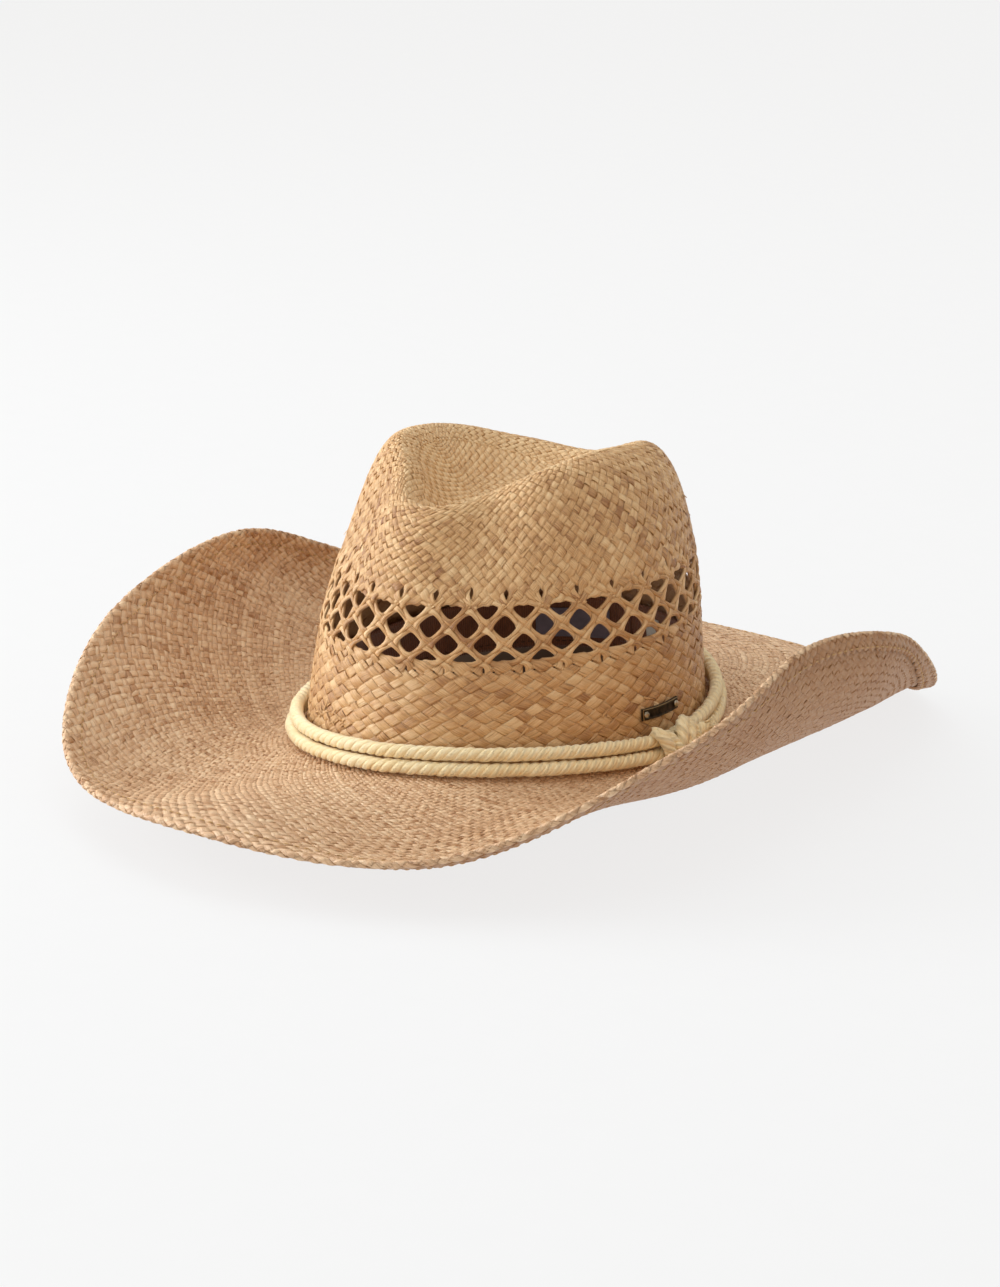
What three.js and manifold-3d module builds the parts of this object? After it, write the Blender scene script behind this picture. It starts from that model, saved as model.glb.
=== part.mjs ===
// Woven straw cowboy hat, size M (head 57 to 58 cm), in millimetres.
// +X is the wearer's left, -Y the front, +Z up. Angles run round the hat from +X (0 degrees)
// through the rear (90) and the wearer's right (180) to the front (270).
import * as THREE from 'three';
import { ParametricGeometry } from 'three/addons/geometries/ParametricGeometry.js';
import { mergeVertices } from 'three/addons/utils/BufferGeometryUtils.js';
import Module from 'manifold-3d';

const wasm = await Module();
wasm.setup();

// ---------------------------------------------------------------- driving dimensions
const STEPS = 48;            // facets round the hat
const STRAW = 2.0;           // thickness of the plaited straw
const GAP = 0.35;            // air kept between touching pieces
const OVAL_X = 84;           // half width of the crown where it meets the brim
const OVAL_Y = 102;          // half length of the same oval

// Twelve values each, one every 30 degrees from the wearer's left.
const BASE_Z = [-7, -5, -2, -1, -2, -4, -6, -7, -5, -2, 0, -1.5];            // foot of the crown
const REACH = [159.5, 177, 214, 213, 212, 180, 161, 185, 207, 215.5, 206, 188];  // brim edge, plan
const EDGE_Z = [57.5, 40, -16, -21, -12, 21, 53, 35, 2, 2.3, 2.2, 39];             // brim edge, height
const SLOPE_IN = [-22, -26, -10, -8, -10, -26, -22, -26, -10, -8, -10, -26]; // brim at the crown
const SLOPE_OUT = [112, 102, -5, -17, -5, 101, 115, 48, 33, -6, 31.5, 47];     // brim at its edge
const RIM_R = [45, 48, 67, 63, 61, 55, 46, 48, 56, 62, 55.5, 46.5];              // ridge of the crown
const RIM_Z = [125, 123, 118, 107, 110.5, 119, 124.5, 125.5, 118, 107.5, 112.5, 121.5];
const SHOULDER = [0.81, 0.94, 0.8, 0.92, 0.94, 0.95, 0.75, 0.43, 0.45, 0.5, 0.45, 0.51];
const VALLEY = [1.6, 1.7, 2.0, 2.6, 2.0, 1.7, 1.6, 1.7, 2.4, 3.2, 2.4, 1.7]; // steepness of the dent
const BRIM_PULL = 1.15;      // fullness of the brim's curl
const CENTRE_Y = -6;         // lowest point of the dent
const CENTRE_Z = 96;
const PINCH = { angles: [302, 238], height: 104, depth: 12, spread: 22, rise: 34 };

const VENT_Z = [42, 74];     // open band in the side of the crown
const VENT_COLUMNS = 30;
const VENT_ROWS = [          // centre height, half width and half height of each row of holes
  { z: 48.0, w: 4.2, h: 2.6 },
  { z: 54.4, w: 5.6, h: 4.3 },
  { z: 62.0, w: 5.6, h: 4.3 },
  { z: 68.9, w: 4.2, h: 2.6 },
];
const VENT_ZIGZAG = 1.6;     // neighbouring rows are staggered, so their borders zigzag

const HEM_WIDTH = 9.5;       // straw turned under at the brim's edge
const WIRE = { u: -1.9, w: -1.0, r: 0.5 };
const FERRULE = { r: 0.8, halfAngle: 1.6 };

const BAND_HEIGHT = 27;      // sweatband
const BAND_THICK = 1.2;

const ROPE_R = 3.1;          // each of the two rope turns
const ROPE_START = 8.5;      // the turns run from here all the way round to ROPE_END
const ROPE_END = 355.5;
const KNOT_ANGLE = 2;

const PLATE = { angle: 1.5, above: 20.5, length: 27, height: 5.4, thick: 1.3, pin: 11.4 };

// ---------------------------------------------------------------- materials
const material = (color, roughness, metalness = 0) =>
  new THREE.MeshStandardMaterial({ color, roughness, metalness });
const straw = () => material(0xcfa374, 0.6);
const rope = () => material(0xe6d3a6, 0.85);
const bronze = () => material(0x3a322b, 0.4, 0.9);
const nickel = () => material(0xc9c4ba, 0.25, 1);
const thread = () => material(0xbf9766, 0.7);

// ---------------------------------------------------------------- helpers
const { PI, sin, cos } = Math;
const RAD = PI / 180;
const vec = (x, y, z) => new THREE.Vector3(x, y, z);

// A smooth closed run of values through equally spaced directions.
function around(values) {
  const curve = new THREE.CatmullRomCurve3(values.map((v) => vec(v, 0, 0)), true, 'catmullrom', 0.5);
  return (theta) => curve.getPoint((((theta / (2 * PI)) % 1) + 1) % 1).x;
}

// Merges shared corners, drops empty triangles and turns every face outwards.
function closed(geometry) {
  geometry.deleteAttribute('normal');
  geometry.deleteAttribute('uv');
  const merged = mergeVertices(geometry, 1e-4);
  const p = merged.attributes.position;
  const old = merged.index.array;
  const kept = [];
  let volume = 0;
  for (let i = 0; i < old.length; i += 3) {
    const [a, b, c] = [old[i], old[i + 1], old[i + 2]];
    if (a === b || b === c || c === a) continue;
    kept.push(a, b, c);
    const [A, B, C] = [a, b, c].map((k) => vec(p.getX(k), p.getY(k), p.getZ(k)));
    volume += A.dot(B.cross(C));
  }
  merged.setIndex(volume < 0 ? kept.reverse() : kept);
  return merged;
}

function toSolid(geometry) {
  const g = closed(geometry);
  return new wasm.Manifold(new wasm.Mesh({
    numProp: 3,
    vertProperties: new Float32Array(g.attributes.position.array),
    triVerts: new Uint32Array(g.index.array),
  }));
}

function fromSolid(solid) {
  const m = solid.getMesh();
  const g = new THREE.BufferGeometry();
  g.setAttribute('position', new THREE.BufferAttribute(new Float32Array(m.vertProperties), 3));
  g.setIndex(new THREE.BufferAttribute(new Uint32Array(m.triVerts), 1));
  return g;
}

// Sweeps a closed section all the way round. corner(theta, k) gives the section's k-th corner.
function ring(corner, corners, steps = STEPS) {
  return closed(new ParametricGeometry((u, v, target) => {
    const theta = ((Math.round(v * steps) % steps) * 2 * PI) / steps;
    target.copy(corner(theta, Math.round(u * corners) % corners));
  }, corners, steps));
}

// Bends a geometry drawn flat (x along, y up, z out) with place(x, y, z).
function bend(geometry, place) {
  const p = geometry.attributes.position;
  for (let i = 0; i < p.count; i++) {
    const q = place(p.getX(i), p.getY(i), p.getZ(i));
    p.setXYZ(i, q.x, q.y, q.z);
  }
  return closed(geometry);
}

// ---------------------------------------------------------------- surfaces of the hat
const baseZ = around(BASE_Z);
const reach = around(REACH);
const edgeZ = around(EDGE_Z);
const slopeIn = around(SLOPE_IN);
const slopeOut = around(SLOPE_OUT);
const rimR = around(RIM_R);
const rimZ = around(RIM_Z);
const shoulder = around(SHOULDER);
const valley = around(VALLEY);

const foot = (theta, grow = 0) =>
  vec((OVAL_X + grow) * cos(theta), (OVAL_Y + grow) * sin(theta), baseZ(theta));

// Middle of the brim: s = 0 at the crown, 1 at the edge.
function brim(theta, s) {
  const p0 = foot(theta);
  const p1 = vec(reach(theta) * cos(theta), reach(theta) * sin(theta), edgeZ(theta));
  const width = p0.distanceTo(p1) * BRIM_PULL;
  const out = vec(p1.x - p0.x, p1.y - p0.y, 0).normalize();
  const lean = (degrees) =>
    out.clone().multiplyScalar(cos(degrees * RAD)).add(vec(0, 0, sin(degrees * RAD))).multiplyScalar(width);
  const [s2, s3] = [s * s, s * s * s];
  return p0.multiplyScalar(2 * s3 - 3 * s2 + 1)
    .add(lean(slopeIn(theta)).multiplyScalar(s3 - 2 * s2 + s))
    .add(p1.multiplyScalar(3 * s2 - 2 * s3))
    .add(lean(slopeOut(theta)).multiplyScalar(s3 - s2));
}

// Outside of the crown's side: v = 0 at the foot, 1 on the ridge.
function wall(theta, v) {
  const p0 = foot(theta);
  const p3 = vec(rimR(theta) * cos(theta), rimR(theta) * sin(theta) - 4, rimZ(theta));
  const out = vec(p0.x - p3.x, p0.y - p3.y, 0);
  const p1 = p0.clone().addScaledVector(out, -0.1);
  p1.z += 0.45 * (p3.z - p0.z);
  const p2 = p3.clone().addScaledVector(out, shoulder(theta));
  p2.z -= 3;
  const w = 1 - v;
  const p = p0.multiplyScalar(w * w * w).add(p1.multiplyScalar(3 * v * w * w))
    .add(p2.multiplyScalar(3 * v * v * w)).add(p3.multiplyScalar(v * v * v));
  const inward = vec(p.x, p.y, 0).normalize();
  for (const angle of PINCH.angles) {
    const turn = Math.atan2(sin(theta - angle * RAD), cos(theta - angle * RAD)) / (PINCH.spread * RAD);
    const rise = (p.z - PINCH.height) / PINCH.rise;
    p.addScaledVector(inward, -PINCH.depth * Math.exp(-turn * turn - rise * rise));
  }
  return p;
}

// Dented top: rho = 0 in the dent's lowest point, 1 on the ridge.
function top(theta, rho) {
  const edge = wall(theta, 1);
  const lift = sin((PI / 2) * Math.max(rho, 0) ** valley(theta)) ** 2;
  return vec(edge.x * rho, CENTRE_Y + (edge.y - CENTRE_Y) * rho, CENTRE_Z + (edge.z - CENTRE_Z) * lift);
}

// A point at a distance from a surface, on the side that the sign gives.
function off(surface, theta, t, distance, sign = 1) {
  const e = 1e-3;
  const round = surface(theta + e, t).sub(surface(theta - e, t));
  const along = surface(theta, t + e).sub(surface(theta, t - e));
  return surface(theta, t).addScaledVector(round.cross(along).normalize(), distance * sign);
}
const offWall = (theta, v, distance) => off(wall, theta, v, distance);
const offBrim = (theta, s, distance) => off(brim, theta, s, distance, -1);
const offTop = (theta, rho, distance) =>
  rho < 0.02 ? vec(0, CENTRE_Y, CENTRE_Z + distance) : off(top, theta, rho, distance, -1);

// Where the crown's side passes a height.
function atHeight(theta, z) {
  let [low, high] = [0, 0.95];
  for (let i = 0; i < 40; i++) {
    const mid = (low + high) / 2;
    if (wall(theta, mid).z < z) low = mid; else high = mid;
  }
  return low;
}
const above = (theta, height) => atHeight(theta, baseZ(theta) + height);

// Length of the brim's section, to step along it in millimetres.
function brimWidth(theta) {
  let length = 0;
  for (let i = 0; i < 24; i++) length += brim(theta, i / 24).distanceTo(brim(theta, (i + 1) / 24));
  return length;
}
const edgeFrame = (theta, u, w) => offBrim(theta, 1 + u / brimWidth(theta), w);

// ---------------------------------------------------------------- plaited straw body
// A sheet of straw between two distances from a surface, as one closed ring.
function sheet(point, levels, outer, inner, steps) {
  const n = levels.length;
  return ring((theta, k) => (k < n ? point(theta, levels[k], outer)
    : point(theta, levels[2 * n - 1 - k], inner)), 2 * n, steps);
}

function crownTop() {
  const rho = [0, 0.25, 0.48, 0.68, 0.85, 0.99];
  const n = rho.length;
  const corner = (theta, k) => {
    if (k === n) return top(theta, rho[n - 1]).add(vec(0, 0, -STRAW));
    return k < n ? offTop(theta, rho[k], 0) : offTop(theta, rho[2 * n - 1 - k], -STRAW);
  };
  return closed(new ParametricGeometry((u, v, target) => {
    const theta = ((Math.round(v * STEPS) % STEPS) * 2 * PI) / STEPS;
    target.copy(corner(theta, Math.round(u * (2 * n - 1))));
  }, 2 * n - 1, STEPS));
}

const crownUpper = () => sheet((theta, level, d) => {
  const start = atHeight(theta, VENT_Z[1] + GAP);
  if (level === 1) return wall(theta, 1).add(vec(0, 0, d));
  return offWall(theta, start + (1 - start) * level, d);
}, [0, 0.3, 0.58, 0.8, 1], 0, -STRAW);

const crownLower = () => sheet((theta, level, d) =>
  offWall(theta, atHeight(theta, VENT_Z[0] - GAP) * level, d), [0, 0.5, 1], 0, -STRAW);

// Six-sided holes in staggered rows. Each cell is a frame between its border and its hole.
function ventBand() {
  const half = PI / VENT_COLUMNS;
  const borders = VENT_ROWS.slice(1).map((row, j) => (row.z + VENT_ROWS[j].z) / 2);
  const border = (j, column) => {
    if (j === 0) return VENT_Z[0];
    if (j === VENT_ROWS.length) return VENT_Z[1];
    return borders[j - 1] + ((j + column) % 2 ? VENT_ZIGZAG : -VENT_ZIGZAG);
  };
  const at = (column, z, d) => {
    const theta = column * half;
    return offWall(theta, atHeight(theta, z), d);
  };
  const corners = [];
  const quad = (a, b, c, d) => corners.push(a, b, c, a, c, d);
  VENT_ROWS.forEach((row, j) => {
    for (let i = 0; i < VENT_COLUMNS; i++) {
      const c = 2 * i + (j % 2);
      const wide = row.w / (half * 88);
      const outline = [[c, border(j, c)], [c + 1, border(j, c + 1)], [c + 1, border(j + 1, c + 1)],
        [c, border(j + 1, c)], [c - 1, border(j + 1, c - 1)], [c - 1, border(j, c - 1)]];
      const hole = [[c, row.z - row.h], [c + wide, row.z - row.h * 0.35], [c + wide, row.z + row.h * 0.35],
        [c, row.z + row.h], [c - wide, row.z + row.h * 0.35], [c - wide, row.z - row.h * 0.35]];
      for (let k = 0; k < 6; k++) {
        const [o0, o1, h0, h1] = [outline[k], outline[(k + 1) % 6], hole[k], hole[(k + 1) % 6]];
        quad(at(...o0, 0), at(...o1, 0), at(...h1, 0), at(...h0, 0));
        quad(at(...h0, -STRAW), at(...h1, -STRAW), at(...o1, -STRAW), at(...o0, -STRAW));
        quad(at(...h0, 0), at(...h1, 0), at(...h1, -STRAW), at(...h0, -STRAW));
      }
    }
  });
  for (let c = 0; c < 2 * VENT_COLUMNS; c++) {
    const [low, high] = VENT_Z;
    quad(at(c + 1, low, 0), at(c, low, 0), at(c, low, -STRAW), at(c + 1, low, -STRAW));
    quad(at(c, high, 0), at(c + 1, high, 0), at(c + 1, high, -STRAW), at(c, high, -STRAW));
  }
  const geometry = new THREE.BufferGeometry().setFromPoints(corners);
  geometry.setAttribute('normal', geometry.attributes.position.clone());
  geometry.setAttribute('uv', geometry.attributes.position.clone());
  return closed(geometry);
}

const BRIM_FIRST = 0.12;

function brimSheet() {
  const levels = [0, BRIM_FIRST, 0.29, 0.47, 0.64, 0.8, 'hem', 'end'];
  return sheet((theta, level, d) => {
    const width = brimWidth(theta);
    if (level === 'hem') return offBrim(theta, 1 - HEM_WIDTH / width, d);
    if (level === 'end') return offBrim(theta, 1 - 3.3 / width, d);
    return offBrim(theta, level || GAP / width, d);
  }, levels, STRAW / 2, -STRAW / 2);
}

// Straw turned under round the edge wire; the corners are (along, up) from the brim's edge.
function brimHem() {
  const section = [[-HEM_WIDTH, -2.9], [-1.9, -2.9], [-0.4, -2.2], [0, -1], [-0.4, 0.2], [-1.9, 0.9],
    [-2.95, 0.9], [-2.95, 0.15], [-1.2, 0.15], [-0.75, -1], [-1.2, -2.15], [-3.2, -2.15],
    [-3.4, -1.35], [-HEM_WIDTH, -1.35]];
  return ring((theta, k) => edgeFrame(theta, ...section[k]), section.length);
}

// ---------------------------------------------------------------- wire and stitching
// A round section, as corner number k of n, in a local frame.
const round = (k, n, r) => [r * cos((2 * PI * (k + 0.5)) / n), r * sin((2 * PI * (k + 0.5)) / n)];

// Follows the hat's flat facets: between two corners of the facets a point lies on the straight line.
function onFacets(theta, point) {
  const step = (2 * PI) / STEPS;
  const low = Math.floor(theta / step + 1e-9);
  return point(low * step).lerp(point((low + 1) * step), theta / step - low);
}

// Bends an upright rod round the hat from one angle to another, with a ring at each facet's corner.
function rodRound(sides, first, last, place) {
  const step = 360 / STEPS;
  const angles = [first];
  for (let a = Math.ceil(first / step + 0.2) * step; a < last - 0.2 * step; a += step) angles.push(a);
  angles.push(last);
  const rod = new THREE.CylinderGeometry(1, 1, 1, sides, angles.length - 1);
  return bend(rod.rotateY(PI / sides), (x, y, z) => {
    const theta = angles[Math.round((y + 0.5) * (angles.length - 1))] * RAD;
    return onFacets(theta, (t) => place(t, x, z));
  });
}

// The wire starts and ends at the ferrule, in the middle of the rear.
const brimWire = () => rodRound(4, 90 + FERRULE.halfAngle + 0.1, 450 - FERRULE.halfAngle - 0.1,
  (theta, x, z) => edgeFrame(theta, WIRE.u + x * WIRE.r, WIRE.w + z * WIRE.r));

const wireFerrule = () => rodRound(8, 90 - FERRULE.halfAngle, 90 + FERRULE.halfAngle,
  (theta, x, z) => edgeFrame(theta, WIRE.u + x * FERRULE.r, WIRE.w + z * FERRULE.r));

const hemStitching = () => ring((theta, k) => {
  const [u, w] = round(k, 4, 0.4);
  return edgeFrame(theta, -HEM_WIDTH + 1.8 + u, -2.9 - GAP - 0.7 + w);
}, 4);

// ---------------------------------------------------------------- sweatband and labels
// The band is tight against the straw at its sewn foot and leans in by BAND_LEAN at its free edge.
const BAND_LEAN = 2.2;
const inBand = (theta, height, depth) => offWall(
  theta, above(theta, height), -(STRAW + GAP + (BAND_LEAN * height) / BAND_HEIGHT + depth));

const sweatband = () => sheet((theta, level, depth) =>
  inBand(theta, 0.5 + (BAND_HEIGHT - 0.5) * level, depth), [0, 1], 0, BAND_THICK);

const bandStitching = () => ring((theta, k) => {
  const [u, w] = round(k, 4, 0.4);
  return inBand(theta, 3.5 + w, BAND_THICK + GAP + 0.3 + u);
}, 4);

// A flat piece laid against the inside of the sweatband.
function innerPatch(angle, width, low, high, thick, columns) {
  const blank = new THREE.BoxGeometry(1, 1, 1, columns, 2, 1);
  return bend(blank, (x, y, z) => {
    const theta = (angle + x * width) * RAD;
    return onFacets(theta, (t) =>
      inBand(t, low + (y + 0.5) * (high - low), BAND_THICK + GAP + (0.5 - z) * thick));
  });
}

// ---------------------------------------------------------------- rope hatband
const ROPE_AIR = (theta) => 0.7 + 0.9 * cos(theta) ** 2;

// Height above the crown's foot at which a rope lies on the brim, at a plan distance from the foot.
function restHeight(theta, away) {
  const run = brim(theta, BRIM_FIRST).sub(brim(theta, 0));
  const slope = Math.atan2(run.z, Math.hypot(run.x, run.y));
  const lift = STRAW / 2 + ROPE_R + GAP + 0.35;
  return ((away + lift * sin(slope)) / cos(slope)) * sin(slope) + lift * cos(slope);
}

function lowerCentre(theta) {
  const away = ROPE_AIR(theta) + ROPE_R + 2;
  const p = foot(theta, away);
  p.z += restHeight(theta, away);
  return p;
}

function upperCentre(theta) {
  const p = foot(theta, ROPE_AIR(theta) + ROPE_R);
  p.z = lowerCentre(theta).z + 2 * ROPE_R + 0.15;
  return p;
}

// Both turns stop at the knot and butt against it.
function ropeTurn(centre) {
  return rodRound(8, ROPE_START, ROPE_END, (theta, x, z) => {
    const out = foot(theta, 1).sub(foot(theta)).setZ(0).normalize();
    return centre(theta).addScaledVector(out, x * ROPE_R).add(vec(0, 0, z * ROPE_R));
  });
}

function knotFrame(theta) {
  const at = upperCentre(theta).add(lowerCentre(theta)).multiplyScalar(0.5);
  const out = vec(cos(theta) / OVAL_X, sin(theta) / OVAL_Y, 0).normalize();
  return { at, out, along: vec(-out.y, out.x, 0) };
}

function knot() {
  const lump = new THREE.SphereGeometry(1, 12, 8);
  const { at, out, along } = knotFrame(KNOT_ANGLE * RAD);
  return bend(lump, (x, y, z) => at.clone().addScaledVector(along, x * 8.2)
    .addScaledVector(out, 2.1 + z * 5.6).add(vec(0, 0, 1.4 + y * 6.6)));
}

// A short cut end that comes out of the knot.
function ropeEnd(startAlong, startOut, startUp, lengthAlong, lengthOut, lengthUp) {
  const { at, out, along } = knotFrame(KNOT_ANGLE * RAD);
  const point = (a, b, c) => at.clone().addScaledVector(along, a).addScaledVector(out, b).add(vec(0, 0, c));
  const path = new THREE.LineCurve3(point(startAlong, startOut, startUp),
    point(startAlong + lengthAlong, startOut + lengthOut, startUp + lengthUp));
  const disc = new THREE.Shape().absarc(0, 0, ROPE_R - 0.3, 0, 2 * PI);
  return closed(new THREE.ExtrudeGeometry(disc, { extrudePath: path, steps: 2, curveSegments: 4 }));
}

// ---------------------------------------------------------------- metal plate and its rivets
// Lays something drawn flat on the outside of the crown, x along, y up, z out.
const onPlate = (x, y, z) => {
  const theta = PLATE.angle * RAD + x / OVAL_Y;
  return onFacets(theta, (t) => offWall(t, above(t, PLATE.above + y), GAP + 0.1 + z));
};

function plate() {
  const [h, t] = [PLATE.height / 2, PLATE.thick];
  const section = new THREE.Shape([[-h, 0], [h, 0], [h, t - 0.6], [h - 0.8, t], [0.8 - h, t], [-h, t - 0.6]]
    .map(([y, z]) => new THREE.Vector2(-z, y)));
  const blank = new THREE.ExtrudeGeometry(section, { depth: PLATE.length, steps: 6, bevelEnabled: false });
  blank.translate(0, 0, -PLATE.length / 2).rotateY(PI / 2);
  const holes = [-1, 1].map((side) =>
    toSolid(new THREE.CylinderGeometry(0.95, 0.95, 8, 8).rotateX(PI / 2).translate(side * PLATE.pin, 0, 0)));
  let solid = toSolid(blank);
  for (const hole of holes) solid = solid.subtract(hole);
  return bend(fromSolid(solid).clone(), onPlate);
}

// One rivet: head over the plate, shank through plate, straw and washer.
function rivet(side) {
  const through = STRAW + 2 * GAP + 0.95;
  const profile = [[0, -through], [0.55, -through], [0.55, PLATE.thick + GAP], [1.5, PLATE.thick + GAP],
    [1.2, PLATE.thick + 0.85], [0, PLATE.thick + 1]].map(([x, y]) => new THREE.Vector2(x, y));
  return bend(new THREE.LatheGeometry(profile, 8).rotateX(PI / 2).translate(side * PLATE.pin, 0, 0), onPlate);
}

function washer(side) {
  const [low, high] = [-(STRAW + 2 * GAP + 0.65), -(STRAW + 2 * GAP + 0.1)];
  const profile = [[0.9, low], [2.4, low], [2.4, high], [0.9, high], [0.9, low]]
    .map(([x, y]) => new THREE.Vector2(x, y));
  return bend(new THREE.LatheGeometry(profile, 8).rotateX(PI / 2).translate(side * PLATE.pin, 0, 0), onPlate);
}

// Two holes in the straw let the rivets through.
function pierced(geometry) {
  let solid = toSolid(geometry);
  for (const side of [-1, 1]) {
    const drill = new THREE.CylinderGeometry(0.95, 0.95, 12, 8).rotateX(PI / 2)
      .translate(side * PLATE.pin, 0, -1);
    solid = solid.subtract(toSolid(bend(drill, onPlate)));
  }
  return fromSolid(solid);
}

// ---------------------------------------------------------------- assembly
const hat = new THREE.Group();
hat.name = 'straw_cowboy_hat';

function add(name, geometry, look, parent = hat) {
  const mesh = new THREE.Mesh(geometry, look);
  mesh.name = name;
  parent.add(mesh);
}

add('crown_top', crownTop(), straw());
add('crown_side_upper', crownUpper(), straw());
add('crown_vent_lattice', ventBand(), straw());
add('crown_side_lower', pierced(crownLower()), straw());
add('brim', brimSheet(), straw());
add('brim_hem', brimHem(), straw());
add('brim_hem_stitching', hemStitching(), thread());
add('brim_edge_wire', brimWire(), material(0xb9bcc0, 0.35, 1));
add('brim_wire_ferrule', wireFerrule(), material(0xb08d4a, 0.35, 1));

add('sweatband', sweatband(), material(0x3b2013, 0.8));
add('sweatband_stitching', bandStitching(), material(0x4a2c1a, 0.7));
add('sweatband_seam_tab', innerPatch(93, 5, 2.5 + 3.2, 26, 0.7, 2), material(0x2c170e, 0.8));
add('sweatband_label', innerPatch(112, 26, 6, 21, 0.5, 6), material(0x857c86, 0.75));
add('size_label', innerPatch(80, 7, 8, 22, 0.4, 2), material(0xe9e4d8, 0.8));

add('plate', plate(), bronze());
for (const [side, word] of [[-1, 'front'], [1, 'rear']]) {
  add('plate_rivet_' + word, rivet(side), nickel());
  add('plate_washer_' + word, washer(side), nickel());
}

const hatband = new THREE.Group();
hatband.name = 'hatband';
hat.add(hatband);
add('rope_turn_lower', ropeTurn(lowerCentre), rope(), hatband);
add('rope_turn_upper', ropeTurn(upperCentre), rope(), hatband);
add('rope_knot', knot(), rope(), hatband);
add('rope_end_upper', ropeEnd(5.5, 7.4, 3.6, 6, 3.4, 0.8), rope(), hatband);
add('rope_end_lower', ropeEnd(5.5, 7.4, -2.6, 6, 3.4, -0.4), rope(), hatband);

// The lowest point of the brim stands on z = 0, and the box is centred on the origin.
const box = new THREE.Box3().setFromObject(hat);
hat.position.set(-(box.min.x + box.max.x) / 2, -(box.min.y + box.max.y) / 2, -box.min.z);
hat.updateMatrixWorld(true);

export default hat;
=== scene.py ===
# Looks of the woven straw cowboy hat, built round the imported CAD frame. Lengths are in millimetres
# until a mesh is made. Angles run from the wearer's left (+X) through the rear to the front.
import math

import bpy
import numpy as np
from mathutils import Matrix


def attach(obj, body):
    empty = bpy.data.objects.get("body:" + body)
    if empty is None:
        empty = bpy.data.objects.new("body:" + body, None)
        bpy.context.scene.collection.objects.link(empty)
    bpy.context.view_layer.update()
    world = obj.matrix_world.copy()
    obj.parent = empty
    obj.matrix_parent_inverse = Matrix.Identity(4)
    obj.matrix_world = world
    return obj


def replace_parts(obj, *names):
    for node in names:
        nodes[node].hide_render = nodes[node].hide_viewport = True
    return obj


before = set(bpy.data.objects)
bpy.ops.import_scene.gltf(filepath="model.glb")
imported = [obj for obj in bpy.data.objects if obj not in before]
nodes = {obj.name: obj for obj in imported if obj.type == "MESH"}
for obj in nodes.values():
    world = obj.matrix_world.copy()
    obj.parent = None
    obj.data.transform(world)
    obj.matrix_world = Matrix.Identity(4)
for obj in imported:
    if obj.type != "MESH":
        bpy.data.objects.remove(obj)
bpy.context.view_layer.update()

# ------------ the shape, as in the CAD source
SHIFT = np.array([-0.3650, 1.3439, 24.6383])  # the CAD's own centring of the box
OVAL_X, OVAL_Y = 84, 102
BASE_Z = [-7, -5, -2, -1, -2, -4, -6, -7, -5, -2, 0, -1.5]
REACH = [159.5, 177, 214, 213, 212, 180, 161, 185, 207, 215.5, 206, 188]
EDGE_Z = [57.5, 40, -16, -21, -12, 21, 53, 35, 2, 2.3, 2.2, 39]
SLOPE_IN = [-22, -26, -10, -8, -10, -26, -22, -26, -10, -8, -10, -26]
SLOPE_OUT = [112, 102, -5, -17, -5, 101, 115, 48, 33, -6, 31.5, 47]
RIM_R = [45, 48, 67, 63, 61, 55, 46, 48, 56, 62, 55.5, 46.5]
RIM_Z = [125, 123, 118, 107, 110.5, 119, 124.5, 125.5, 118, 107.5, 112.5, 121.5]
SHOULDER = [0.81, 0.94, 0.8, 0.92, 0.94, 0.95, 0.75, 0.43, 0.45, 0.5, 0.45, 0.51]
VALLEY = [1.6, 1.7, 2.0, 2.6, 2.0, 1.7, 1.6, 1.7, 2.4, 3.2, 2.4, 1.7]
BRIM_PULL = 1.15
RIM_Y, WALL_SPREAD, WALL_RISE, RIM_SOFT = -4, 0.1, 0.45, 3
CENTRE_Y, CENTRE_Z = -6, 96
PINCH_ANGLES, PINCH_HEIGHT, PINCH_DEPTH, PINCH_SPREAD, PINCH_RISE = [302, 238], 104, 12, 22, 34
STRAW, GAP, HEM_WIDTH = 2.0, 0.35, 9.5
ROPE_R = 3.1
TAU = 2 * math.pi


def catmull(a, b, c, d, t):
    return 0.5 * (2 * b + (c - a) * t + (2 * a - 5 * b + 4 * c - d) * t**2 + (3 * b - a - 3 * c + d) * t**3)


def around(values):
    """A smooth closed curve through values at even steps round the hat, as a function of the angle."""
    v = np.array(values, float)
    n = len(v)

    def at(theta):
        u = (np.asarray(theta) / TAU % 1) * n
        i = np.floor(u).astype(int)
        return catmull(*(v[(i + k) % n] for k in (-1, 0, 1, 2)), u - i)

    return at


base_z, reach, edge_z = around(BASE_Z), around(REACH), around(EDGE_Z)
slope_in, slope_out = around(SLOPE_IN), around(SLOPE_OUT)
rim_r, rim_z = around(RIM_R), around(RIM_Z)
shoulder, valley = around(SHOULDER), around(VALLEY)


def xyz(x, y, z):
    return np.stack(np.broadcast_arrays(x, y, z), -1).astype(float)


def unit(v):
    return v / np.maximum(np.linalg.norm(v, axis=-1, keepdims=True), 1e-9)


def foot(theta, grow=0.0):
    return xyz((OVAL_X + grow) * np.cos(theta), (OVAL_Y + grow) * np.sin(theta), base_z(theta))


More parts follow.
